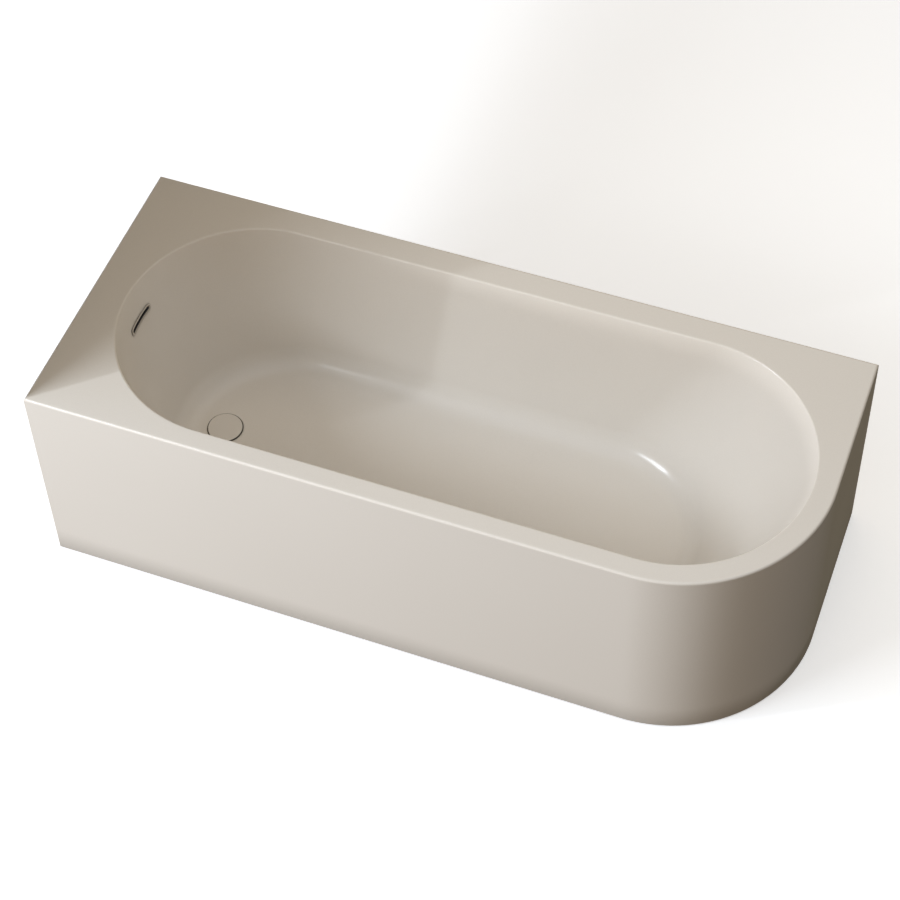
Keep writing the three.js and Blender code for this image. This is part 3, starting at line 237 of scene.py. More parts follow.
# The soft window in front and to the left, the bright strip beside its sash, a dim pane overhead,
# and a far low light from the same side that falls along the front. Each has its azimuth and elevation
# in degrees, its distance and size in metres, its power and colour, and whether it shows in the gloss.
DAYLIGHT = (0.838, 0.912, 1.0)
LAMPS = (
    ("window_light", -42.6, 35.7, 5.18, (1.9, 1.3), 115.0, DAYLIGHT, True),
    ("sash_light", -53.4, 35.7, 5.18, (0.05, 1.3), 34.0, DAYLIGHT, True),
    ("ceiling_light", 200.0, 75.0, 3.4, (2.6, 2.0), 12.3, (1.0, 0.6, 0.1), False),
    ("side_light", -50.0, 4.0, 9.0, (2.2, 1.0), 336.0, (0.963, 0.973, 1.0), False),
)

# The room's dim light from each side, as red, green and blue
ROOM_RIGHT, ROOM_LEFT = (0.03, 0.02, 0.02), (0.15, 0.2, 0.34)
ROOM_BACK, ROOM_FRONT = (0.455, 0.35, 0.165), (0.595, 0.455, 0.295)
ROOM_ABOVE, ROOM_BELOW = (0.765, 0.825, 0.895), (0.04, 0.04, 0.04)
FLOOR_SHARE = 0.47
BACKDROP = (0.93, 0.93, 0.92)
FLOOR_GLOW = 0.42


def make_lamp(name, azimuth, elevation, distance, size, power, colour, in_gloss):
    data = bpy.data.lights.new(name, "AREA")
    data.shape = "RECTANGLE"
    data.size, data.size_y = size
    data.energy = power
    data.color = colour
    lamp = in_scene(name, data)
    turn = aim(math.radians(azimuth), math.radians(elevation))
    lamp.matrix_world = turn @ Matrix.Translation((0, 0, distance))
    lamp.visible_glossy = in_gloss


for lamp_values in LAMPS:
    make_lamp(*lamp_values)


def room_light(tree):
    """The room's light in a direction: each side's colour, shared out by the square of the direction's part.

    The last of the sides tells whether the direction goes up. Below, only the floor's share comes back.
    """
    parts = add_node(tree, "SeparateXYZ", {0: add_node(tree, "TexCoord").outputs["Generated"]})
    shares = []
    sides = ((ROOM_LEFT, ROOM_RIGHT), (ROOM_FRONT, ROOM_BACK), (ROOM_BELOW, ROOM_ABOVE))
    for part, (minus, plus) in zip(parts.outputs, sides):
        square = add_node(tree, "Math", {0: part, 1: part}, operation="MULTIPLY")
        onward = add_node(tree, "Math", {0: part, 1: 0.0}, operation="GREATER_THAN").outputs[0]
        pick = add_node(tree, "Mix", data_type="RGBA")
        feed(tree, pick, {0: onward, 6: (*minus, 1), 7: (*plus, 1)})
        share = add_node(tree, "VectorMath", operation="SCALE")
        feed(tree, share, {0: pick.outputs[2], "Scale": square.outputs[0]})
        shares.append(share.outputs[0])
    level = add_node(tree, "VectorMath", {0: shares[0], 1: shares[1]})
    total = add_node(tree, "VectorMath", {0: level.outputs[0], 1: shares[2]})
    lit = add_node(tree, "Math", operation="MULTIPLY_ADD")
    feed(tree, lit, {0: onward, 1: 1 - FLOOR_SHARE, 2: FLOOR_SHARE})
    dimmed = add_node(tree, "VectorMath", operation="SCALE")
    feed(tree, dimmed, {0: total.outputs[0], "Scale": lit.outputs[0]})
    return dimmed.outputs[0]


def make_world():
    world = bpy.data.worlds.new("studio")
    world.use_nodes = True
    tree = world.node_tree
    tree.nodes.clear()
    around = add_node(tree, "Background", {"Color": room_light(tree)})
    seen = add_node(tree, "Background", {"Color": (*BACKDROP, 1)})
    to_camera = add_node(tree, "LightPath").outputs["Is Camera Ray"]
    mixed = add_node(tree, "MixShader", {0: to_camera, 1: around.outputs[0], 2: seen.outputs[0]})
    add_node(tree, "OutputWorld", {"Surface": mixed.outputs[0]})
    bpy.context.scene.world = world
    bpy.context.scene.view_settings.view_transform = "Standard"


make_world()


# ---- Materials ----

FINE_SHARE = 0.7
BLOT_LOW, BLOT_HIGH = 0.35, 0.65
BUMP_HEIGHT = 0.0002


def add_sockets(group, way, kind, *names):
    for name in names:
        group.interface.new_socket(name, in_out=way, socket_type=kind)


def speckle_group():
    """Fine grain: small blots of a lighter and a darker tone, with a height for a bump."""
    group = bpy.data.node_groups.new("speckle", "ShaderNodeTree")
    add_sockets(group, "INPUT", "NodeSocketColor", "Base", "Dark")
    add_sockets(group, "INPUT", "NodeSocketFloat", "Amount", "Fine", "Broad")
    add_sockets(group, "OUTPUT", "NodeSocketColor", "Color")
    add_sockets(group, "OUTPUT", "NodeSocketFloat", "Mask", "Height")
    entry = group.nodes.new("NodeGroupInput").outputs
    leave = group.nodes.new("NodeGroupOutput")
    place = add_node(group, "TexCoord").outputs["Object"]
    fine = add_node(group, "TexNoise", {"Vector": place, "Scale": entry["Fine"], "Detail": 3.0})
    broad = add_node(group, "TexNoise", {"Vector": place, "Scale": entry["Broad"], "Detail": 2.0})
    dimmed = add_node(group, "Math", {0: broad.outputs["Fac"], 1: 1 - FINE_SHARE}, operation="MULTIPLY")
    both = add_node(group, "Math", operation="MULTIPLY_ADD")
    feed(group, both, {0: fine.outputs["Fac"], 1: FINE_SHARE, 2: dimmed.outputs[0]})
    blots = add_node(group, "MapRange", {"From Min": BLOT_LOW, "From Max": BLOT_HIGH})
    feed(group, blots, {"Value": both.outputs[0]})
    shown = add_node(group, "Math", operation="MULTIPLY", use_clamp=True)
    feed(group, shown, {0: blots.outputs["Result"], 1: entry["Amount"]})
    tone = add_node(group, "Mix", data_type="RGBA")
    feed(group, tone, {0: shown.outputs[0], 6: entry["Base"], 7: entry["Dark"]})
    feed(group, leave, {"Color": tone.outputs[2], "Mask": blots.outputs["Result"]})
    feed(group, leave, {"Height": fine.outputs["Fac"]})
    return group


SPECKLE = speckle_group()


def speckled(name, base, dark, amount, fine, broad, rough, spread, bump, metal=0.0):
    """A material whose tone, gloss and surface follow the speckle group."""
    material = bpy.data.materials.new(name)
    material.use_nodes = True
    tree = material.node_tree
    grain = add_node(tree, "Group", node_tree=SPECKLE)
    feed(tree, grain, {"Base": (*base, 1), "Dark": (*dark, 1), "Amount": amount})
    feed(tree, grain, {"Fine": fine, "Broad": broad})
    gloss = add_node(tree, "MapRange", {"To Min": rough, "To Max": rough + spread})
    feed(tree, gloss, {"Value": grain.outputs["Mask"]})
    raised = add_node(tree, "Bump", {"Strength": bump, "Distance": BUMP_HEIGHT})
    feed(tree, raised, {"Height": grain.outputs["Height"]})
    shader = tree.nodes["Principled BSDF"]
    feed(tree, shader, {"Base Color": grain.outputs["Color"], "Roughness": gloss.outputs["Result"]})
    feed(tree, shader, {"Normal": raised.outputs["Normal"], "Metallic": metal})
    return material


# Each finish, and each painted shade, has its tone, its darker tone and how much of that shows, the scale of
# its fine and of its broad grain, its roughness and how far that spreads, and its bump
ACRYLIC = speckled(
    "greige_acrylic", (0.79, 0.75, 0.69), (0.71, 0.665, 0.6), 0.28, 420.0, 2.2, 0.18, 0.05, 0.05)
COVER = speckled(
    "greige_cover", (0.77, 0.73, 0.67), (0.7, 0.655, 0.59), 0.2, 420.0, 8.0, 0.2, 0.06, 0.05)
# Painted shade: a darker greige for the overflow trim's mouth and the rounded rim of its face, where shade
# falls
PAINTED_SLOT_SHADE = speckled(
    "painted_slot_shade", (0.42, 0.38, 0.33), (0.36, 0.32, 0.27), 0.2, 420.0, 8.0, 0.3, 0.06, 0.05)
BACKING = speckled(
    "glass_fibre_backing", (0.62, 0.58, 0.5), (0.42, 0.38, 0.31), 0.7, 160.0, 14.0, 0.5, 0.25, 0.9)
BOARD = speckled(
    "chipboard", (0.5, 0.36, 0.21), (0.26, 0.17, 0.09), 0.8, 240.0, 30.0, 0.6, 0.2, 0.5)
ZINC = speckled(
    "zinc_plated_steel", (0.6, 0.61, 0.62), (0.42, 0.43, 0.45), 0.7, 60.0, 18.0, 0.32, 0.16, 0.1, metal=1.0)
BRIGHT = speckled(
    "bright_steel", (0.66, 0.66, 0.67), (0.5, 0.5, 0.52), 0.4, 120.0, 20.0, 0.2, 0.12, 0.06, metal=1.0)
# Black plastic; the overflow trim also uses it as painted shade inside its slot and in the recess under its
# face
BLACK_PLASTIC_AND_SHADE = speckled(
    "black_plastic", (0.022, 0.022, 0.024), (0.04, 0.04, 0.042), 0.6, 500.0, 20.0, 0.42, 0.15, 0.2)
GREY = speckled(
    "grey_plastic", (0.28, 0.29, 0.3), (0.22, 0.23, 0.24), 0.5, 500.0, 20.0, 0.4, 0.15, 0.15)
WHITE = speckled(
    "white_plastic", (0.78, 0.78, 0.75), (0.66, 0.66, 0.62), 0.4, 500.0, 16.0, 0.35, 0.15, 0.12)
# Painted shade: a dark warm grey that stands in for the shadow in the waste ring's groove and under the plug
# cover's edge
PAINTED_GROOVE_SHADE = speckled(
    "painted_groove_shade", (0.1, 0.088, 0.072), (0.08, 0.07, 0.058), 0.3, 500.0, 8.0, 0.5, 0.1, 0.05)
RUBBER = speckled(
    "black_rubber", (0.012, 0.012, 0.012), (0.03, 0.03, 0.03), 0.7, 700.0, 25.0, 0.65, 0.2, 0.3)

SLOT_MATERIALS = {
    "board": BOARD,
    "zinc_steel": ZINC,
    "bright_steel": BRIGHT,
    "black_plastic": BLACK_PLASTIC_AND_SHADE,
    "grey_plastic": GREY,
    "white_plastic": WHITE,
    "rubber": RUBBER,
}


def pale_floor():
    """A pale floor that looks a little lit from within, so that shade on it stays light."""
    material = speckled("pale_floor", (0.9, 0.9, 0.9), (0.87, 0.87, 0.87), 0.3, 8.0, 0.6, 0.7, 0.1, 0.0)
    tree = material.node_tree
    to_camera = add_node(tree, "LightPath").outputs["Is Camera Ray"]
    glow = add_node(tree, "Math", {0: to_camera, 1: FLOOR_GLOW}, operation="MULTIPLY").outputs[0]
    feed(tree, tree.nodes["Principled BSDF"], {"Emission Color": (1, 1, 1, 1), "Emission Strength": glow})
    return material


FLOOR_REACH = 30.0
SHADE_STANDOFF, SHADE_SIZE = 2.0, 2600.0


def make_stage():
    floor_form = bmesh.new()
    bmesh.ops.create_grid(floor_form, x_segments=2, y_segments=2, size=FLOOR_REACH)
    floor = in_scene("studio_floor", as_mesh("studio_floor", floor_form))
    floor.data.materials.append(pale_floor())
    floor.visible_diffuse = False
    floor.visible_glossy = False
    floor.visible_shadow = False

    # The wall along the bath's left edge shades the rim's corner in the photograph. Only its shade is kept.
    shade_form = bmesh.new()
    shade_x, far_y, top = LEFT - SHADE_STANDOFF, FRONT + SHADE_SIZE, HEIGHT + SHADE_SIZE
    corners = ((FRONT, HEIGHT), (far_y, HEIGHT), (far_y, top), (FRONT, top))
    shade_form.faces.new([shade_form.verts.new(Vector((shade_x, y, z)) * METRE) for y, z in corners])
    shade = in_scene("shade_wall", as_mesh("shade_wall", shade_form))
    cloth = speckled("shade_cloth", (0.3, 0.27, 0.23), (0.28, 0.25, 0.21), 0.3, 8.0, 0.6, 0.8, 0.1, 0.0)
    shade.data.materials.append(cloth)
    shade.visible_camera = False


make_stage()


# ---- Making pieces ----

SHARP, EASED = math.radians(32), math.radians(40)
QUARTER, WHOLE_TURN = math.pi / 2, 2 * math.pi


def mix(a, b, share):
    return a + (b - a) * share


def polar(radius, angle, z):
    return Vector((radius * math.cos(angle), radius * math.sin(angle), z))


def arc_points(radius, turn, steps):
    """An arc that starts level and bends down by turn, as (run, drop) from its start."""
    angles = [turn * i / steps for i in range(steps + 1)]
    return [(radius * math.sin(angle), radius * (1 - math.cos(angle))) for angle in angles]


def new_form():
    form = bmesh.new()
    form.verts.layers.int.new("station")
    return form


def grow(form, edges, place):
    """Extrudes edges and puts each new vertex at place(station). Gives the new edges."""
    station = form.verts.layers.int["station"]
    made = bmesh.ops.extrude_edge_only(form, edges=edges)["geom"]
    verts = {part for part in made if isinstance(part, bmesh.types.BMVert)}
    for vert in verts:
        vert.co = place(vert[station])
    return [part for part in made if isinstance(part, bmesh.types.BMEdge) and set(part.verts) <= verts]


def start_ring(form, count, place):
    """A closed ring of vertices, each marked with its station. Gives its edges."""
    station = form.verts.layers.int["station"]
    verts = bmesh.ops.create_circle(form, segments=count, radius=1.0)["verts"]
    for index, vert in enumerate(verts):
        vert[station] = index
        vert.co = place(index)
    return list(dict.fromkeys(edge for vert in verts for edge in vert.link_edges))


def round_place(radius, count, z):
    """Where each station lies on a round ring square to Z."""
    return lambda index: polar(radius, WHOLE_TURN * index / count, z)


def lofted(count, places, closed=False):
    """A skin through rings. Closed, the last ring joins the first. Otherwise both ends get a flat cap."""
    form = new_form()
    edges = first = start_ring(form, count, places[0])
    for place in places[1:]:
        edges = grow(form, edges, place)
    if closed:
        grow(form, edges, places[0])
        bmesh.ops.remove_doubles(form, verts=form.verts, dist=NEAR)
    else:
        bmesh.ops.contextual_create(form, geom=first)
        bmesh.ops.contextual_create(form, geom=edges)
    return form


def revolved(profile, closed=False, steps=96):
    """A profile of (radius, height) points turned once round Z."""
    form = new_form()
    points = [form.verts.new((radius, 0, height)) for radius, height in profile]
    edges = [form.edges.new(pair) for pair in zip(points, points[1:])]
    if closed:
        edges.append(form.edges.new((points[-1], points[0])))
    bmesh.ops.spin(form, geom=points + edges, axis=(0, 0, 1), angle=WHOLE_TURN, steps=steps, use_merge=True)
    bmesh.ops.remove_doubles(form, verts=form.verts, dist=NEAR)
    return form


def sleeve(inner, outer, low, high):
    return revolved([(inner, low), (outer, low), (outer, high), (inner, high)], closed=True)


def block(size, centre):
    form = new_form()
    place = Matrix.Translation(centre) @ Matrix.Diagonal((*size, 1))
    bmesh.ops.create_cube(form, size=1.0, matrix=place)
    return form


def placed(form, *turns):
    """Moves a form by each matrix in turn."""
    for turn in turns:
        form.transform(turn)
    return form


def shift(x, y, z):
    return Matrix.Translation((x, y, z))


def joined(*forms):
    """Puts forms into one, each with its faces outward."""
    whole = new_form()
    for form in forms:
        bmesh.ops.recalc_face_normals(form, faces=form.faces)
        mesh = as_mesh("form", form)
        whole.from_mesh(mesh)
        bpy.data.meshes.remove(mesh)
    return whole


def make_piece(form, name, node, slot, body="bath", materials=None, sharp=SHARP):
    """Turns a form in millimetres into the piece that stands for a CAD node."""
    form = joined(form)
    form.transform(Matrix.Scale(METRE, 4))
    mesh = as_mesh(name, form)
    for material in materials or [SLOT_MATERIALS[slot]]:
        mesh.materials.append(material)
    mesh.polygons.foreach_set("use_smooth", [True] * len(mesh.polygons))
    mesh.set_sharp_from_angle(angle=sharp)
    piece = in_scene(name, mesh)
    if body:
        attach(piece, body)
    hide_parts(node)
    return piece


def ease_edges(piece, width, segments=2):
    """Rounds a piece's sharp edges a little, as moulds and tools leave them."""
    ease = piece.modifiers.new("eased edges", "BEVEL")
    ease.width = width * METRE
    ease.segments = segments
    ease.limit_method = "ANGLE"
    ease.angle_limit = EASED
    ease.harden_normals = True


# Routes: each stretch gives its length, and the point and heading at a distance along it

def straight(start, end):
    start, way = Vector(start), Vector(end) - Vector(start)
    return way.length, lambda distance: (start + way * distance / way.length, way.normalized())


def bend(centre, radius, arm, onward):
    """A quarter turn from centre + arm * radius, which heads onward and ends at centre + onward * radius."""
    centre, arm, onward = Vector(centre), Vector(arm), Vector(onward)

    def at(distance):
        angle = distance / radius
        reach = arm * math.cos(angle) + onward * math.sin(angle)
        return centre + reach * radius, onward * math.cos(angle) - arm * math.sin(angle)

    return radius * QUARTER, at


def route_length(route):
    return sum(length for length, at in route)


def along(route, distance):
    for length, at in route[:-1]:
        if distance <= length:
            return at(distance)
        distance -= length
    return route[-1][1](min(distance, route[-1][0]))


def ring_on(route, distance, side, radius, count):
    """A ring square to the route."""
    point, heading = along(route, distance)
    across = heading.cross(side)

    def place(index):
        angle = WHOLE_TURN * index / count
        return point + (side * math.cos(angle) + across * math.sin(angle)) * radius

    return place


ALONG_X, ALONG_Y, ALONG_Z = Vector((1, 0, 0)), Vector((0, 1, 0)), Vector((0, 0, 1))
TO_X = Matrix.Rotation(QUARTER, 4, "Y")
TO_MINUS_X = Matrix.Rotation(-QUARTER, 4, "Y")
TO_Y = Matrix.Rotation(-QUARTER, 4, "X")


# ---- Bath shell ----

ARC_STEPS = 44
STRAIGHT_STEPS = 26
ROUNDING_STEPS = 6
WALL_STEPS = 10
FILLET_STEPS = 14
SUPPORT = 1.5
LEANS = (SIDE_LEAN, DRAIN_LEAN, BACKREST_LEAN)


def basin_stations():
    """Directions round the basin, against the clock, each with its share of the way along the straights."""
    right_centre, left_centre = BASIN_RIGHT - HALF, BASIN_LEFT + HALF
    right_corner = math.atan2(BACK - MIDDLE_Y, RIGHT - right_centre)
    back_corner = math.atan2(BACK - MIDDLE_Y, LEFT - left_centre)
    front_corner = math.atan2(FRONT - MIDDLE_Y, LEFT - left_centre) + WHOLE_TURN
    back_lip = math.atan2(BACK - MIDDLE_Y, RIGHT - APRON_THICKNESS - GAP - right_centre)
    front_lip = math.atan2(FRONT + APRON_THICKNESS + GAP - MIDDLE_Y, LEFT - left_centre) + WHOLE_TURN
    stations = []

    def arc(start, stop, share):
        steps = math.ceil(ARC_STEPS * (stop - start) / QUARTER)
        stations.extend((mix(start, stop, i / steps), share) for i in range(steps))

    def run(angle, start, stop):
        stations.extend((angle, mix(start, stop, i / STRAIGHT_STEPS)) for i in range(STRAIGHT_STEPS))

    arc(-QUARTER, 0, 1)
    arc(0, right_corner, 1)
    arc(right_corner, back_lip, 1)
    arc(back_lip, QUARTER, 1)
    run(QUARTER, 1, 0)
    arc(QUARTER, back_corner, 0)
    arc(back_corner, front_lip, 0)
    arc(front_lip, front_corner, 0)
    arc(front_corner, 3 * QUARTER, 0)
    run(3 * QUARTER, 0, 1)
    return stations


STATIONS = basin_stations()


def wall_section(lean):
    """The wall's section from the rim to the floor, as (inset from the rim's edge, depth)."""
    turn = QUARTER - lean
    tangent = RIM_ROUNDING * math.tan(turn / 2)
    foot = DEPTH * math.tan(lean) + FLOOR_FILLET * math.tan(turn / 2)
    rounding = [(run - tangent, drop) for run, drop in arc_points(RIM_ROUNDING, turn, ROUNDING_STEPS)]
    fillet = [(foot - run, DEPTH - drop) for run, drop in arc_points(FLOOR_FILLET, turn, FILLET_STEPS)]
    top, low = rounding[-1], fillet[-1]
    shares = [i / WALL_STEPS for i in range(1, WALL_STEPS)]
    slope = [(mix(top[0], low[0], share), mix(top[1], low[1], share)) for share in shares]
    section = [(-tangent - SUPPORT, 0.0)] + rounding + slope + fillet[::-1]
    return section + [(foot + 4 * SUPPORT, DEPTH)]


def underside_section(lean):
    """The hidden side of the same wall, one wall thickness out."""
    turn = QUARTER - lean
    radius = FLOOR_FILLET + WALL
    foot = DEPTH * math.tan(lean) + FLOOR_FILLET * math.tan(turn / 2)
    fillet = [(foot - run, DEPTH + WALL - drop) for run, drop in arc_points(radius, turn, FILLET_STEPS)]
    return [(WALL * math.tan(lean) - WALL / math.cos(lean), WALL)] + fillet[::-1]


def basin_place(level, fall):
    """Where each station of one level lies. The level has a section point for the sides and for each end."""
    side, drain_wall, backrest = level
    left, right, half = BASIN_LEFT + drain_wall[0], BASIN_RIGHT - backrest[0], HALF - side[0]

    def place(index):
        angle, share = STATIONS[index]
        x = mix(left + half, right - half, share) + half * math.cos(angle)
        end = drain_wall if math.cos(angle) < 0 else backrest
        depth = mix(side[1], end[1], math.cos(angle) ** 2)
        way = min(max((x - DRAIN_X) / (BASIN_RIGHT - DRAIN_X), 0), 1)
        return Vector((x, MIDDLE_Y + half * math.sin(angle), HEIGHT - depth * (1 - fall * way / DEPTH)))

    return place


def edge_place(inset, z):
    """Where each station lies on the rim's outer edge, drawn in by inset."""
    def place(index):
        angle, share = STATIONS[index]
        dx, dy = math.cos(angle), math.sin(angle)
        if share == 1 and angle <= 0:
            radius = CORNER_RADIUS - inset
            return Vector((CORNER_X + radius * dx, CORNER_Y + radius * dy, z))
        start_x = mix(BASIN_LEFT + HALF, BASIN_RIGHT - HALF, share)
        wall_x = (LEFT + inset if dx < 0 else RIGHT - inset) - start_x
        wall_y = (FRONT + inset if dy < 0 else BACK - inset) - MIDDLE_Y
        reach_x = wall_x / dx if abs(dx) > NEAR else math.inf
        reach_y = wall_y / dy if abs(dy) > NEAR else math.inf
        reach = min(reach_x, reach_y)
        return Vector((start_x + reach * dx, MIDDLE_Y + reach * dy, z))

    return place


floor_edge = basin_place([wall_section(lean)[-1] for lean in LEANS], 0)


def waste_place(radius, z):
    """Where each station lies on a circle round the waste, on the way to its place on the floor's edge."""
    def place(index):
        edge = floor_edge(index)
        angle = math.atan2(edge.y - MIDDLE_Y, edge.x - DRAIN_X)
        return Vector((DRAIN_X + radius * math.cos(angle), MIDDLE_Y + radius * math.sin(angle), z))

    return place


def shell_form():
    form = new_form()
    edges = start_ring(form, len(STATIONS), waste_place(WASTE_HOLE, FLOOR_UNDER))
    for radius in (WASTE_HOLE, WASTE_HOLE + 3 * SUPPORT, FLANGE_RADIUS + GAP):
        edges = grow(form, edges, waste_place(radius, FLOOR_TOP))
    for level in reversed(list(zip(*(wall_section(lean) for lean in LEANS)))):
        edges = grow(form, edges, basin_place(level, FLOOR_FALL))
    edges = grow(form, edges, edge_place(EDGE_RADIUS + SUPPORT, HEIGHT))
    for run, drop in arc_points(EDGE_RADIUS, QUARTER, ROUNDING_STEPS):
        edges = grow(form, edges, edge_place(EDGE_RADIUS - run, HEIGHT - drop))
    edges = grow(form, edges, edge_place(0, DECK_UNDER))
    shown = set(form.faces)
    edges = grow(form, edges, edge_place(WALL, DECK_UNDER))
    lip = [face for face in form.faces if face not in shown and on_wall_side(face.calc_center_median())]
    for level in zip(*(underside_section(lean) for lean in LEANS)):
        edges = grow(form, edges, basin_place(level, 0))
    for face in form.faces:
        face.material_index = 0 if face in shown else 1
    grow(form, edges, waste_place(WASTE_HOLE, FLOOR_UNDER))
    bmesh.ops.remove_doubles(form, verts=form.verts, dist=NEAR)
    lip = [face for face in lip if face.is_valid]
    lowered = bmesh.ops.extrude_face_region(form, geom=lip)["geom"]
    bmesh.ops.delete(form, geom=lip, context="FACES_ONLY")
    for vert in lowered:
        if isinstance(vert, bmesh.types.BMVert):
            vert.co.z = LIP_UNDER
    return form


def on_wall_side(point):
    """Whether a point of the rim's lower edge stands against a wall, clear of the apron's ends."""
    by_left = point.x < LEFT + WALL and point.y > FRONT + APRON_THICKNESS + GAP
    by_back = point.y > BACK - WALL and point.x < RIGHT - APRON_THICKNESS - GAP
    return by_left or by_back


def cut_by(piece, form):
    """Cuts a form out of a piece's mesh."""
    bmesh.ops.recalc_face_normals(form, faces=form.faces)
    form.transform(Matrix.Scale(METRE, 4))
    mesh = as_mesh("cutter", form)
    mesh.materials.append(ACRYLIC)
    tool = in_scene("cutter", mesh)
    cut = piece.modifiers.new("cut", "BOOLEAN")
    cut.object = tool
    cut.solver = "EXACT"
    seen = piece.evaluated_get(bpy.context.evaluated_depsgraph_get())
    result = bpy.data.meshes.new_from_object(seen)
    piece.modifiers.clear()
    old = piece.data
    name = old.name
    piece.data = result
    bpy.data.meshes.remove(old)
    result.name = name
    bpy.data.objects.remove(tool)
    bpy.data.meshes.remove(mesh)


def make_shell():
    materials = [ACRYLIC, BACKING]
    piece = make_piece(shell_form(), "bath_shell", "basin_shell", "acrylic", materials=materials)
    rings = [(HOLE_LENGTH, HOLE_HEIGHT, x) for x in (-3 * WALL, 3 * WALL)]
    cut_by(piece, on_drain_wall(slot_form(rings, closed=False)))


# The overflow's own frame: its X points into the basin, square to the leaning wall

SLOT_ARC, SLOT_RUN = 16, 12
SLOT_STATIONS = 2 * (SLOT_ARC + SLOT_RUN)
OVERFLOW_X = BASIN_LEFT + OVERFLOW_DROP * math.tan(DRAIN_LEAN)
OVERFLOW_Z = HEIGHT - OVERFLOW_DROP
OVERFLOW_HALF = HALF - OVERFLOW_DROP * math.tan(SIDE_LEAN)
OVERFLOW_CURVE = OVERFLOW_HALF / math.cos(DRAIN_LEAN)


def on_drain_wall(form):
    return placed(form, Matrix.Rotation(-DRAIN_LEAN, 4, "Y"), shift(OVERFLOW_X, MIDDLE_Y, OVERFLOW_Z))


def slot_place(length, height, x):
    """A slot-shaped ring square to X that follows the wall's curve."""
    radius = height / 2
    half = length / 2 - radius

    def place(index):
        side, step = divmod(index, SLOT_ARC + SLOT_RUN)
        sign = 1 - 2 * side
        if step < SLOT_RUN:
            y, z = mix(-half, half, step / SLOT_RUN), -radius
        else:
            angle = ((step - SLOT_RUN) / SLOT_ARC - 1 / 2) * math.pi
            y, z = half + radius * math.cos(angle), radius * math.sin(angle)
        return Vector((x + y * y / (2 * OVERFLOW_CURVE), sign * y, sign * z))

    return place


def slot_form(rings, closed=True):
    """A skin through slot-shaped rings of (length, height, x)."""
    return lofted(SLOT_STATIONS, [slot_place(*ring) for ring in rings], closed=closed)


make_shell()


# ---- Apron ----

APRON_ARC_STEPS = 72
APRON_FLAT_STEPS = 24
APRON_LEVELS = 8
SKIN = 1.0


def apron_stations():
    """The apron in plan, as (x, y, outward x, outward y), from the left end round to the back wall."""
    shares = [i / APRON_FLAT_STEPS for i in range(APRON_FLAT_STEPS + 1)]
    stations = [(mix(LEFT, CORNER_X, share), FRONT, 0, -1) for share in shares[:-1]]
    for i in range(APRON_ARC_STEPS):
        angle = (i / APRON_ARC_STEPS - 1) * QUARTER
        across, up = math.cos(angle), math.sin(angle)
        stations.append((CORNER_X + CORNER_RADIUS * across, CORNER_Y + CORNER_RADIUS * up, across, up))
    return stations + [(RIGHT, mix(CORNER_Y, BACK, share), 1, 0) for share in shares]


APRON_STATIONS = apron_stations()


def apron_strip(section, first=0, last=0):
    """A strip along the apron with this closed section of (inset, height) points."""
    form = new_form()
    stations = APRON_STATIONS[first:len(APRON_STATIONS) - last]

    def place_at(x, y, out_x, out_y):
        def place(index):
            inset, z = section[index]
            return Vector((x - out_x * inset, y - out_y * inset, z))

        return place

    edges = first_ring = start_ring(form, len(section), place_at(*stations[0]))
    for station in stations[1:]:
        edges = grow(form, edges, place_at(*station))
    bmesh.ops.contextual_create(form, geom=first_ring)
    bmesh.ops.contextual_create(form, geom=edges)
    return form


def make_apron():
    top, low = DECK_UNDER, APRON_LOW
    ease = APRON_THICKNESS / 4
    section = [(0, mix(low + ease, top, i / APRON_LEVELS)) for i in range(APRON_LEVELS + 1)]
    section += [(APRON_THICKNESS, top), (APRON_THICKNESS, low + ease)]
    section += [(APRON_THICKNESS - ease / 3, low + ease / 3), (APRON_THICKNESS - ease, low)]
    section += [(ease, low), (ease / 3, low + ease / 3)]
    panel = apron_strip(section)
    flange_low = top - BOND_FLANGE_THICKNESS
    flange_in = APRON_THICKNESS + BOND_FLANGE_WIDTH
    flange_section = [(APRON_THICKNESS, flange_low), (flange_in, flange_low), (flange_in, top - GAP)]
    flange_section.append((APRON_THICKNESS, top - GAP))
    flange = apron_strip(flange_section, 1, 1)
    height = LIP_UNDER - GAP - APRON_LOW
    width = APRON_RETURN - APRON_THICKNESS
    middle_z = APRON_LOW + height / 2
    left_middle = (LEFT + APRON_THICKNESS / 2, FRONT + APRON_THICKNESS + width / 2, middle_z)
    left = block((APRON_THICKNESS, width, height), left_middle)
    right_middle = (RIGHT - APRON_THICKNESS - width / 2, BACK - APRON_THICKNESS / 2, middle_z)
    right = block((width, APRON_THICKNESS, height), right_middle)
    form = joined(panel, flange, left, right)
    for face in form.faces:
        middle = face.calc_center_median()
        from_corner = math.hypot(middle.x - CORNER_X, middle.y - CORNER_Y)
        if middle.x > CORNER_X and middle.y < CORNER_Y:
            outside = from_corner > CORNER_RADIUS - SKIN
        else:
            outside = middle.y < FRONT + SKIN or middle.x > RIGHT - SKIN
        at_end = middle.x < LEFT + SKIN or middle.y > BACK - SKIN
        face.material_index = 0 if outside or at_end else 1
    make_piece(form, "apron_skirt", "apron_panel", "acrylic", materials=[ACRYLIC, BACKING])


make_apron()


# ---- Overflow ----

TRIM_STEPS = 5


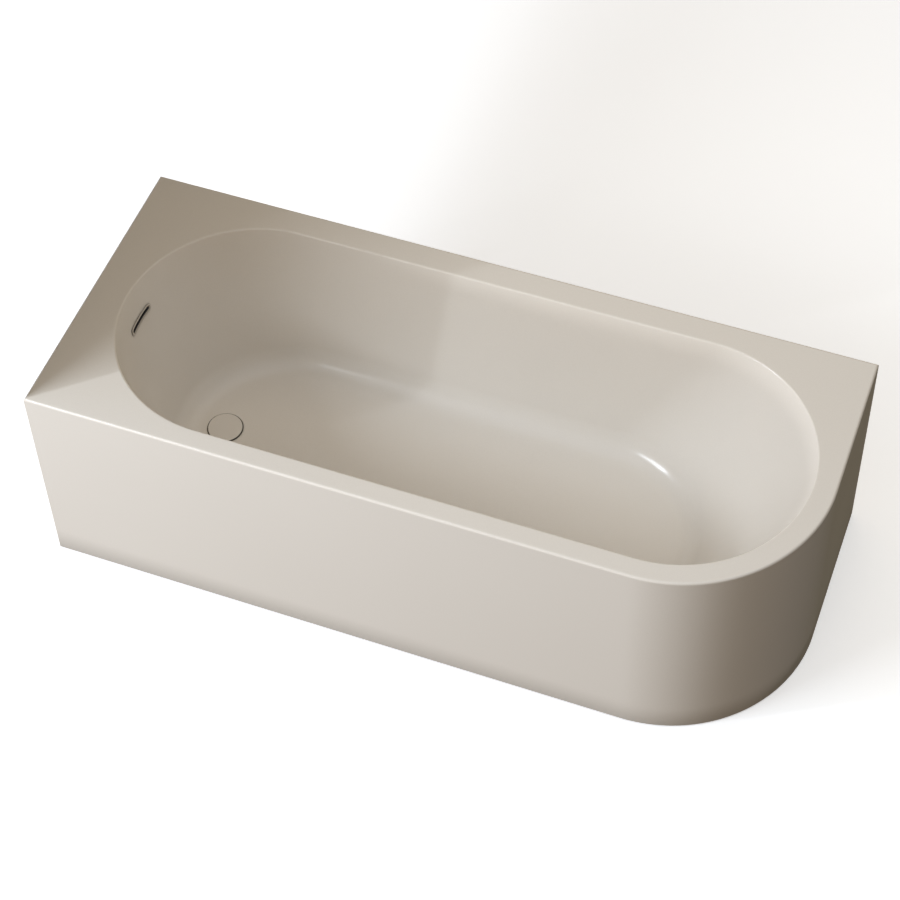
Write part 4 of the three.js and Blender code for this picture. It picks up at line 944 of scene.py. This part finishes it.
def make_overflow_trim():
    face = OVERFLOW_SEAT + TRIM_THICKNESS
    throat = face - MOUTH_DEPTH
    rings = [(SLOT_LENGTH, SLOT_HEIGHT, -TAIL_LENGTH), (SLOT_LENGTH, SLOT_HEIGHT, 0)]
    rings.append((THROAT_LENGTH, THROAT_HEIGHT, throat))
    rings.append((MOUTH_LENGTH - GAP, MOUTH_HEIGHT - GAP, face - GAP))
    rings.append((MOUTH_LENGTH + GAP, MOUTH_HEIGHT + GAP, face))
    for run, drop in arc_points(TRIM_EASE, QUARTER, TRIM_STEPS):
        less = 2 * (TRIM_EASE - run)
        rings.append((TRIM_LENGTH - less, TRIM_HEIGHT - less, face - drop))
    shaded_recess_length, shaded_recess_height = TRIM_LENGTH - 2 * SHADOW_GAP, TRIM_HEIGHT - 2 * SHADOW_GAP
    rings.append((TRIM_LENGTH, TRIM_HEIGHT, face - SHADOW_GAP - GAP))
    rings.append((shaded_recess_length, shaded_recess_height, face - SHADOW_GAP - GAP))
    rings.append((shaded_recess_length, shaded_recess_height, 0))
    rings.append((TAIL_OUTER_LENGTH, TAIL_OUTER_HEIGHT, 0))
    rings.append((TAIL_OUTER_LENGTH, TAIL_OUTER_HEIGHT, -TAIL_LENGTH))
    form = slot_form(rings)
    # Painted shade on the trim: the slot and the recess under the face are black, and the mouth and the
    # face's rounded rim are a darker greige; only the flat face keeps the acrylic
    for part in form.faces:
        middle = part.calc_center_median()
        reach_y = max(abs(middle.y) - (MOUTH_LENGTH - MOUTH_HEIGHT) / 2, 0)
        off_middle = math.hypot(reach_y, middle.z)
        on_face = MOUTH_HEIGHT / 2 + GAP / 4 < off_middle < TRIM_HEIGHT / 2 - TRIM_EASE
        in_mouth = off_middle < MOUTH_HEIGHT / 2
        height_on_wall = middle.x - middle.y ** 2 / (2 * OVERFLOW_CURVE)
        in_painted_shade = height_on_wall < (throat if in_mouth else face - SHADOW_GAP) - NEAR
        part.material_index = 1 if in_painted_shade else 0 if on_face else 2
    materials = [ACRYLIC, BLACK_PLASTIC_AND_SHADE, PAINTED_SLOT_SHADE]
    make_piece(on_drain_wall(form), "overflow_cover", "overflow_trim", "acrylic", materials=materials)


def make_overflow_gasket():
    face = -WALL - GAP
    rings = [(FLANGE_LENGTH, FLANGE_HEIGHT, face), (FLANGE_LENGTH, FLANGE_HEIGHT, face - GASKET)]
    rings += [(HOLE_LENGTH, HOLE_HEIGHT, face - GASKET), (HOLE_LENGTH, HOLE_HEIGHT, face)]
    form = on_drain_wall(slot_form(rings))
    ease_edges(make_piece(form, "overflow_seal", "overflow_gasket", "rubber"), 0.5)


def make_overflow_chamber():
    face = -WALL - 2 * GAP - GASKET
    back = face - FLANGE_THICKNESS
    rings = [(CHAMBER_LENGTH, CHAMBER_HEIGHT, x) for x in (-CHAMBER_DEPTH, back - FLANGE_SLOPE)]
    rings += [(FLANGE_LENGTH, FLANGE_HEIGHT, back), (FLANGE_LENGTH, FLANGE_HEIGHT, face)]
    rings += [(HOLE_LENGTH, HOLE_HEIGHT, face), (HOLE_LENGTH, HOLE_HEIGHT, back)]
    inner_length, inner_height = CHAMBER_LENGTH - 2 * CHAMBER_WALL, CHAMBER_HEIGHT - 2 * CHAMBER_WALL
    rings += [(inner_length, inner_height, x) for x in (back - FLANGE_SLOPE, CHAMBER_WALL - CHAMBER_DEPTH)]
    chamber = on_drain_wall(slot_form(rings, closed=False))
    joint_z = SPIGOT_TOP - CHAMBER_HEIGHT / 2 + CHAMBER_WALL
    spigot = sleeve(SPIGOT_RADIUS - SPIGOT_WALL, SPIGOT_RADIUS, SPIGOT_LOW, joint_z)
    form = joined(chamber, placed(spigot, shift(SPIGOT_X, MIDDLE_Y, 0)))
    ease_edges(make_piece(form, "overflow_chamber", "overflow_body", "white_plastic"), 0.8, 3)


def hose_route():
    bend_x, bend_z = SPIGOT_X + HOSE_BEND, INLET_Z + HOSE_BEND
    end_x = DRAIN_X - INLET_LENGTH + HOSE_OVERLAP
    return [
        straight((SPIGOT_X, MIDDLE_Y, SPIGOT_LOW + HOSE_OVERLAP), (SPIGOT_X, MIDDLE_Y, bend_z)),
        bend((bend_x, MIDDLE_Y, bend_z), HOSE_BEND, -ALONG_X, -ALONG_Z),
        straight((bend_x, MIDDLE_Y, INLET_Z), (end_x, MIDDLE_Y, INLET_Z)),
    ]


def make_hose():
    """The ribbed hose from the chamber to the waste, held by a nut at each end."""
    route = hose_route()
    total = route_length(route)
    rib_count = int((total - 2 * HOSE_CUFF) / RIB_PITCH)
    cuff = (total - rib_count * RIB_PITCH) / 2
    sides, steps, bore_steps = 32, 6, 40
    rings = [(0, HOSE_VALLEY)]
    for i in range(rib_count * steps + 1):
        swell = (1 - math.cos(WHOLE_TURN * i / steps)) / 2
        rings.append((cuff + i / steps * RIB_PITCH, mix(HOSE_VALLEY, HOSE_RIB, swell ** RIB_FULLNESS)))
    rings.append((total, HOSE_VALLEY))
    rings += [(mix(total, 0, i / bore_steps), HOSE_BORE) for i in range(bore_steps + 1)]
    places = [ring_on(route, distance, ALONG_Y, radius, sides) for distance, radius in rings]
    form = lofted(sides, places, closed=True)
    make_piece(form, "ribbed_hose", "overflow_hose", "grey_plastic", sharp=RIB_SHARP)


def union_nut(radius):
    """A nut with rounded finger lugs, which stands on Z 0."""
    bore = radius + NUT_CLEARANCE
    outer = bore + NUT_WALL
    count = 128

    def ring(inset, z):
        def place(index):
            angle = WHOLE_TURN * index / count
            lug = min(max(LUG_STEEPNESS * math.cos(NUT_LUGS * angle), -1), 1)
            return polar(outer - inset - LUG_DEPTH * (1 - lug) / 2, angle, z)

        return place

    ease = LUG_DEPTH / 2
    places = [round_place(bore, count, 0), ring(ease, 0), ring(0, ease)]
    places += [ring(0, NUT_LENGTH - ease), ring(ease, NUT_LENGTH), round_place(bore, count, NUT_LENGTH)]
    return lofted(count, places, closed=True)


def make_nuts():
    top = placed(union_nut(HOSE_VALLEY), shift(SPIGOT_X, MIDDLE_Y, SPIGOT_LOW - GAP))
    make_piece(top, "hose_top_nut", "hose_nut_top", "black_plastic")
    low = placed(union_nut(HOSE_VALLEY), TO_X, shift(DRAIN_X - INLET_LENGTH, MIDDLE_Y, INLET_Z))
    make_piece(low, "hose_low_nut", "hose_nut_bottom", "black_plastic")
    inlet = placed(union_nut(OUTLET_RADIUS), shift(DRAIN_X, MIDDLE_Y, TRAP_TOP - NUT_LENGTH / 2))
    make_piece(inlet, "trap_top_nut", "trap_inlet_nut", "grey_plastic")
    outlet = placed(union_nut(OUTLET_RADIUS), TO_Y, shift(DRAIN_X, TRAP_END_Y - NUT_LENGTH / 2, TRAP_OUT_Z))
    make_piece(outlet, "trap_end_nut", "trap_outlet_nut", "grey_plastic")


make_overflow_trim()
make_overflow_gasket()
make_overflow_chamber()
make_hose()
make_nuts()


# ---- Waste, plug and trap ----

AT_WASTE = shift(DRAIN_X, MIDDLE_Y, 0)
WASTE_STEPS = 160


def make_flange():
    low, chamfer = FLANGE_LOW, FLANGE_CHAMFER
    lip = low + GROOVE_DEPTH
    ring = revolved([
        (BORE_RADIUS, NECK_LOW),
        (NECK_RADIUS, NECK_LOW),
        (NECK_RADIUS, low),
        (FLANGE_RADIUS, low),
        (FLANGE_RADIUS - GAP, lip - GAP),
        (FLANGE_RADIUS - 2 * GAP, lip),
        (GROOVE_RADIUS + GAP, lip),
        (GROOVE_RADIUS, lip - GAP),
        (GROOVE_RADIUS, low + GAP),
        (SEAT_RADIUS, low + GAP),
        (SEAT_RADIUS - SEAT_DROP, SEAT_Z),
        (BORE_RADIUS + chamfer, SEAT_Z),
        (BORE_RADIUS, SEAT_Z - chamfer),
    ], closed=True, steps=WASTE_STEPS)
    # The groove's faces are painted with the dark shade
    for face in ring.faces:
        middle = face.calc_center_median()
        from_middle = math.hypot(middle.x, middle.y)
        painted_shade_in_groove = SEAT_RADIUS - SEAT_DROP < from_middle < GROOVE_RADIUS + NEAR and middle.z > low + NEAR
        face.material_index = 1 if painted_shade_in_groove else 0
    boss = sleeve(CARTRIDGE_RADIUS + GAP, BOSS_RADIUS, BOSS_LOW, BOSS_TOP)
    spokes = []
    reach = BORE_RADIUS + OVERLAP - BOSS_RADIUS
    spoke_size = (reach, SPOKE_WIDTH, BOSS_TOP - BOSS_LOW)
    spoke_middle = (BOSS_RADIUS + reach / 2, 0, (BOSS_TOP + BOSS_LOW) / 2)
    for i in range(SPOKES):
        turn = Matrix.Rotation(WHOLE_TURN * i / SPOKES, 4, "Z")
        spokes.append(placed(block(spoke_size, spoke_middle), turn))
    form = placed(joined(ring, boss, *spokes), AT_WASTE)
    make_piece(form, "waste_ring", "waste_flange", "drain_cover", materials=[COVER, PAINTED_GROOVE_SHADE])


def make_plug():
    edge_top = PLUG_TOP - PLUG_DOME
    profile = [(0, PLUG_TOP)]
    steps = 8
    flat = PLUG_RADIUS - PLUG_EDGE
    for i in range(1, steps + 1):
        profile.append((flat * i / steps, PLUG_TOP - PLUG_DOME * (i / steps) ** 2))
    profile += [(flat + run, edge_top - drop) for run, drop in arc_points(PLUG_EDGE, QUARTER, steps)[1:]]
    skirt = PLUG_RADIUS - SHADOW_GAP
    profile += [
        (skirt, edge_top - PLUG_EDGE),
        (skirt, PLUG_SKIRT_LOW),
        (skirt - SKIRT_WALL, PLUG_SKIRT_LOW),
        (skirt - SKIRT_WALL, PLUG_UNDER),
        (HUB_RADIUS, PLUG_UNDER),
        (HUB_RADIUS, HUB_LOW),
        (0, HUB_LOW),
    ]
    cap = revolved(profile, steps=WASTE_STEPS)
    # The cover below its rounded edge is painted dark, as the shadow gap beneath it
    for face in cap.faces:
        face.material_index = 0 if face.calc_center_median().z > edge_top - PLUG_EDGE + NEAR else 1
    cap = placed(cap, AT_WASTE)
    make_piece(cap, "waste_cover", "plug_cap", "drain_cover", body="plug", materials=[COVER, PAINTED_GROOVE_SHADE])
    seal = placed(sleeve(SEAL_INNER, SEAL_OUTER, SEAT_Z + GAP, PLUG_UNDER - GAP), AT_WASTE)
    make_piece(seal, "plug_ring_seal", "plug_seal", "rubber", body="plug")
    head_top = HEAD_LOW + HEAD_HEIGHT
    stem = revolved([
        (0, HEAD_LOW),
        (HEAD_RADIUS, HEAD_LOW),
        (HEAD_RADIUS, head_top),
        (SHAFT_RADIUS, head_top),
        (SHAFT_RADIUS, HUB_LOW - GAP),
        (0, HUB_LOW - GAP),
    ])
    make_piece(placed(stem, AT_WASTE), "plug_rod", "plug_stem", "bright_steel", body="plug")
    inner, bore = CARTRIDGE_RADIUS - CARTRIDGE_WALL, SHAFT_RADIUS + SHAFT_CLEARANCE
    case = revolved([
        (0, CARTRIDGE_LOW),
        (CARTRIDGE_RADIUS, CARTRIDGE_LOW),
        (CARTRIDGE_RADIUS, BOSS_TOP + GAP),
        (COLLAR_RADIUS, BOSS_TOP + GAP),
        (COLLAR_RADIUS, CARTRIDGE_TOP),
        (bore, CARTRIDGE_TOP),
        (bore, CAVITY_TOP),
        (inner, CAVITY_TOP),
        (inner, CAVITY_LOW),
        (0, CAVITY_LOW),
    ])
    make_piece(placed(case, AT_WASTE), "click_cartridge", "plug_cartridge", "white_plastic")


def make_spring():
    low, high = CAVITY_LOW + GAP + WIRE_RADIUS, HEAD_LOW - GAP - WIRE_RADIUS
    turn_steps, sides = 28, 10
    steps = SPRING_TURNS * turn_steps
    rise = (high - low) / SPRING_TURNS / WHOLE_TURN

    def ring(i):
        angle = WHOLE_TURN * SPRING_TURNS * i / steps
        outward = Vector((math.cos(angle), math.sin(angle), 0))
        point = Vector((DRAIN_X, MIDDLE_Y, mix(low, high, i / steps))) + outward * COIL_RADIUS
        heading = Vector((-COIL_RADIUS * math.sin(angle), COIL_RADIUS * math.cos(angle), rise))
        up = heading.normalized().cross(outward)

        def place(index):
            turn = WHOLE_TURN * index / sides
            return point + (outward * math.cos(turn) + up * math.sin(turn)) * WIRE_RADIUS

        return place

    form = lofted(sides, [ring(i) for i in range(steps + 1)])
    piece = make_piece(form, "click_spring", "plug_spring", "bright_steel", body=None)
    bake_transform(piece)


def make_waste_body():
    gasket_low = GASKET_TOP - WASTE_GASKET
    gasket = placed(sleeve(NECK_RADIUS + GAP, WASTE_GASKET_RADIUS, gasket_low, GASKET_TOP), AT_WASTE)
    ease_edges(make_piece(gasket, "waste_seal", "waste_gasket", "rubber"), 0.7, 3)
    cup_inner, pipe_bore = CUP_RADIUS - CUP_WALL, OUTLET_RADIUS - PIPE_WALL
    cup = revolved([
        (pipe_bore, OUTLET_LOW),
        (OUTLET_RADIUS, OUTLET_LOW),
        (OUTLET_RADIUS, CUP_LOW),
        (CUP_RADIUS, CUP_LOW + CUP_WALL),
        (CUP_RADIUS, BODY_TOP - TOP_THICKNESS),
        (TOP_RADIUS, BODY_TOP - TOP_THICKNESS),
        (TOP_RADIUS, BODY_TOP),
        (NECK_RADIUS + GAP, BODY_TOP),
        (NECK_RADIUS + GAP, BODY_TOP - TOP_THICKNESS),
        (cup_inner, BODY_TOP - TOP_THICKNESS),
        (cup_inner, CUP_LOW + 2 * CUP_WALL),
        (pipe_bore, CUP_LOW + CUP_WALL),
    ], closed=True)
    inlet = sleeve(SPIGOT_RADIUS - SPIGOT_WALL, SPIGOT_RADIUS, cup_inner + CUP_WALL / 2, INLET_LENGTH)
    form = placed(joined(cup, placed(inlet, TO_MINUS_X, shift(0, 0, INLET_Z))), AT_WASTE)
    ease_edges(make_piece(form, "waste_cup", "waste_body", "white_plastic"), 0.9, 3)


def trap_route():
    bend_centre = (DRAIN_X, MIDDLE_Y + TRAP_BEND, TRAP_BEND_Z)
    rise_y = MIDDLE_Y + 2 * TRAP_BEND
    rise_centre = (DRAIN_X, rise_y + TRAP_RISE, TRAP_BEND_Z)
    return [
        straight((DRAIN_X, MIDDLE_Y, TRAP_TOP), (DRAIN_X, MIDDLE_Y, TRAP_BEND_Z)),
        bend(bend_centre, TRAP_BEND, -ALONG_Y, -ALONG_Z),
        bend(bend_centre, TRAP_BEND, -ALONG_Z, ALONG_Y),
        bend(rise_centre, TRAP_RISE, -ALONG_Y, ALONG_Z),
        straight((DRAIN_X, rise_y + TRAP_RISE, TRAP_OUT_Z), (DRAIN_X, TRAP_END_Y, TRAP_OUT_Z)),
    ]


def make_trap():
    route = trap_route()
    total = route_length(route)
    steps, sides = 72, 64
    rings = [(total * i / steps, OUTLET_RADIUS) for i in range(steps + 1)]
    rings += [(total * (1 - i / steps), OUTLET_RADIUS - PIPE_WALL) for i in range(steps + 1)]
    tube = lofted(sides, [ring_on(route, way, ALONG_X, radius, sides) for way, radius in rings], closed=True)
    at_bend = shift(DRAIN_X, MIDDLE_Y + TRAP_BEND, TRAP_BEND_Z - TRAP_BEND)
    stub_end = OUTLET_RADIUS + TRAP_STUB
    stub = sleeve(STUB_RADIUS - PIPE_WALL, STUB_RADIUS, OUTLET_RADIUS / 2, stub_end)
    form = joined(tube, placed(stub, TO_MINUS_X, at_bend))
    make_piece(form, "trap_bend", "trap_body", "white_plastic")
    cap_low = stub_end - TRAP_STUB / 2
    cap_top = stub_end + GAP + STUB_CAP_WALL
    cap = revolved([
        (0, stub_end + GAP),
        (STUB_RADIUS + GAP, stub_end + GAP),
        (STUB_RADIUS + GAP, cap_low),
        (STUB_CAP_RADIUS, cap_low),
        (STUB_CAP_RADIUS, cap_top),
        (0, cap_top),
    ])
    grip_height = STUB_CAP_LENGTH - STUB_CAP_WALL
    grip_middle = cap_top + grip_height / 2 - STUB_CAP_WALL / 2
    grip = block((STUB_CAP_RADIUS, STUB_CAP_WALL, grip_height), (0, 0, grip_middle))
    form = joined(placed(cap, TO_MINUS_X, at_bend), placed(grip, TO_MINUS_X, at_bend))
    ease_edges(make_piece(form, "trap_cleaning_cap", "trap_plug", "grey_plastic"), 0.7, 3)
    pipe = sleeve(OUTLET_RADIUS - PIPE_WALL, OUTLET_RADIUS, TRAP_END_Y + GAP, BACK - WALL_STANDOFF)
    form = placed(pipe, TO_Y, shift(DRAIN_X, 0, TRAP_OUT_Z))
    ease_edges(make_piece(form, "waste_pipe", "outlet_pipe", "grey_plastic"), 0.5)


make_flange()
make_plug()
make_spring()
make_waste_body()
make_trap()


# ---- Board, frame and feet ----

CORNER_STEPS = 8
PLATE_STATIONS = 4 * (CORNER_STEPS + 1)


def plate_place(half_u, half_v, radius, put):
    """A rounded rectangle's ring. put turns its two coordinates into a point."""
    def place(index):
        corner, step = divmod(index, CORNER_STEPS + 1)
        angle = (corner + step / CORNER_STEPS) * QUARTER
        u = (half_u - radius) * (1 if corner in (0, 3) else -1) + radius * math.cos(angle)
        v = (half_v - radius) * (1 if corner in (0, 1) else -1) + radius * math.sin(angle)
        return put(u, v)

    return place


def tube_form(start, end, centre, axis):
    """A square tube with round corners from start to end along X or Y."""
    def put_at(distance):
        if axis == "X":
            return lambda u, v: Vector((distance, centre[0] + u, centre[1] + v))
        return lambda u, v: Vector((centre[0] + u, distance, centre[1] + v))

    outer, inner = TUBE / 2, TUBE / 2 - TUBE_WALL
    places = [plate_place(outer, outer, TUBE_CORNER, put_at(way)) for way in (start, end)]
    places += [plate_place(inner, inner, TUBE_CORNER - TUBE_WALL, put_at(way)) for way in (end, start)]
    return lofted(PLATE_STATIONS, places, closed=True)


def hexagon(flats, low, high, bore=0.0):
    """A hexagon with rounded-off corners at both ends, with a bore where it is a nut."""
    reach = flats / math.sqrt(3)
    steps = 12
    count = 6 * steps

    def ring(z, limit):
        def place(index):
            angle = WHOLE_TURN * index / count
            from_flat = (angle + math.pi / 6) % (math.pi / 3) - math.pi / 6
            return polar(min(flats / 2 / math.cos(from_flat), limit), angle, z)

        return place

    chamfer = (reach - flats / 2) / 2
    places = [ring(low, flats / 2), ring(low + chamfer, reach)]
    places += [ring(high - chamfer, reach), ring(high, flats / 2)]
    if bore:
        places = [round_place(bore, count, low)] + places + [round_place(bore, count, high)]
    return lofted(count, places, closed=bool(bore))


def frame_nut(low, height):
    return hexagon(NUT_FLATS, low, low + height, THREAD_RADIUS + BORE_CLEARANCE)


def make_frame():
    half_length = (BOARD_RIGHT - BOARD_LEFT) / 2
    middle = (BOARD_RIGHT + BOARD_LEFT) / 2

    def board_ring(inset, z):
        def put(u, v):
            return Vector((middle + u, MIDDLE_Y + v, z))

        return plate_place(half_length - inset, BOARD_HALF - inset, BOARD_CORNER - inset, put)

    places = [board_ring(BOARD_CHAMFER, BOARD_UNDER), board_ring(0, BOARD_UNDER + BOARD_CHAMFER)]
    places += [board_ring(0, BOARD_TOP - BOARD_CHAMFER), board_ring(BOARD_CHAMFER, BOARD_TOP)]
    make_piece(lofted(PLATE_STATIONS, places), "stiffening_board", "base_board", "board")
    for row, y in zip(("front", "back"), RAIL_Y):
        form = tube_form(BOARD_LEFT + RAIL_START, RAIL_END, (y, RAIL_UNDER + TUBE / 2), "X")
        make_piece(form, f"long_rail_{row}", f"frame_rail_{row}", "zinc_steel")
    for place, x in zip(("left", "middle", "right"), BAR_X):
        tube = tube_form(BAR_FRONT, BAR_BACK, (x, BAR_UNDER + TUBE / 2), "Y")
        nuts = [placed(frame_nut(BAR_TOP, WELD_NUT), shift(x, y, 0)) for y in FOOT_Y]
        make_piece(joined(tube, *nuts), f"cross_rail_{place}", f"cross_bar_{place}", "zinc_steel")


def thread_form(radius, low, high):
    """A screw thread wound round Z, with a chamfered end."""
    core = radius - THREAD_DEPTH
    steps = 24
    turn = new_form()
    profile = [(core, 0), (radius, CREST_START), (radius, CREST_END), (core, 1)]
    points = [turn.verts.new((reach, 0, low + THREAD_PITCH * share)) for reach, share in profile]
    edges = [turn.edges.new(pair) for pair in zip(points, points[1:])]
    rise = (0, 0, THREAD_PITCH / steps)
    bmesh.ops.spin(turn, geom=points + edges, axis=(0, 0, 1), dvec=rise, angle=WHOLE_TURN, steps=steps)
    mesh = as_mesh("turn", turn)
    wound = new_form()
    for i in range(int((high - low) / THREAD_PITCH) - 1):
        wound.from_mesh(mesh)
        mesh.transform(shift(0, 0, THREAD_PITCH))
    bpy.data.meshes.remove(mesh)
    bmesh.ops.remove_doubles(wound, verts=wound.verts, dist=10 * NEAR)
    neck, tip = core + THREAD_DEPTH / 4, core - THREAD_CHAMFER
    profile = [(0, low), (neck, low), (neck, high - THREAD_CHAMFER), (tip, high), (0, high)]
    return joined(wound, revolved(profile, steps=2 * steps))


def make_foot(number, spot):
    """A pad with its socket, the threaded rod that stands in it, and the lock nut under the bar."""
    pad = revolved([
        (0, 0),
        (PAD_RADIUS, 0),
        (PAD_RADIUS, PAD_EDGE),
        (PAD_NECK, PAD_HEIGHT - PAD_EDGE),
        (PAD_NECK, PAD_HEIGHT),
        (SOCKET_RADIUS, PAD_HEIGHT),
        (SOCKET_RADIUS, SOCKET_FLOOR),
        (0, SOCKET_FLOOR),
    ])
    pad, pad_node = placed(pad, spot), f"foot_pad_{number}"
    ease_edges(make_piece(pad, f"pad_{number}", pad_node, "black_plastic", body=f"foot_{number}"), 0.9, 3)
    collar_low = PAD_HEIGHT + GAP
    collar_top = collar_low + COLLAR_HEIGHT
    tip_low, tip_top = SOCKET_FLOOR + GAP, collar_low + OVERLAP
    tip = revolved([(0, tip_low), (TIP_RADIUS, tip_low), (TIP_RADIUS, tip_top), (0, tip_top)])
    collar = hexagon(COLLAR_FLATS, collar_low, collar_top)
    thread = thread_form(THREAD_RADIUS, collar_top - OVERLAP, BAR_TOP + WELD_NUT + SPINDLE_PROUD)
    rod, rod_node = placed(joined(tip, collar, thread), spot), f"foot_spindle_{number}"
    make_piece(rod, f"threaded_rod_{number}", rod_node, "bright_steel", body=f"spindle_{number}")
    nut = placed(frame_nut(BAR_UNDER - GAP - LOCK_NUT, LOCK_NUT), spot)
    make_piece(nut, f"lock_nut_{number}", f"foot_lock_nut_{number}", "bright_steel")


def soften_node(node, name, slot, width):
    """A CAD node's own form with its seams merged and its edges eased."""
    form = new_form()
    form.from_mesh(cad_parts[node].data)
    form.transform(Matrix.Scale(1 / METRE, 4))
    bmesh.ops.remove_doubles(form, verts=form.verts, dist=10 * NEAR)
    bmesh.ops.dissolve_limit(form, angle_limit=math.radians(1), verts=form.verts, edges=form.edges)
    ease_edges(make_piece(form, name, node, slot), width)


make_frame()
for index, foot_place in enumerate((x, y, 0) for x in BAR_X for y in FOOT_Y):
    make_foot(index + 1, shift(*foot_place))
for number in range(1, BRACKETS + 1):
    soften_node(f"apron_bracket_{number}", f"skirt_bracket_{number}", "zinc_steel", 0.5)
    soften_node(f"board_screw_{number}", f"wood_screw_{number}", "bright_steel", 0.4)
for number in range(1, CLIPS + 1):
    soften_node(f"wall_clip_{number}", f"rim_clip_{number}", "zinc_steel", 0.6)
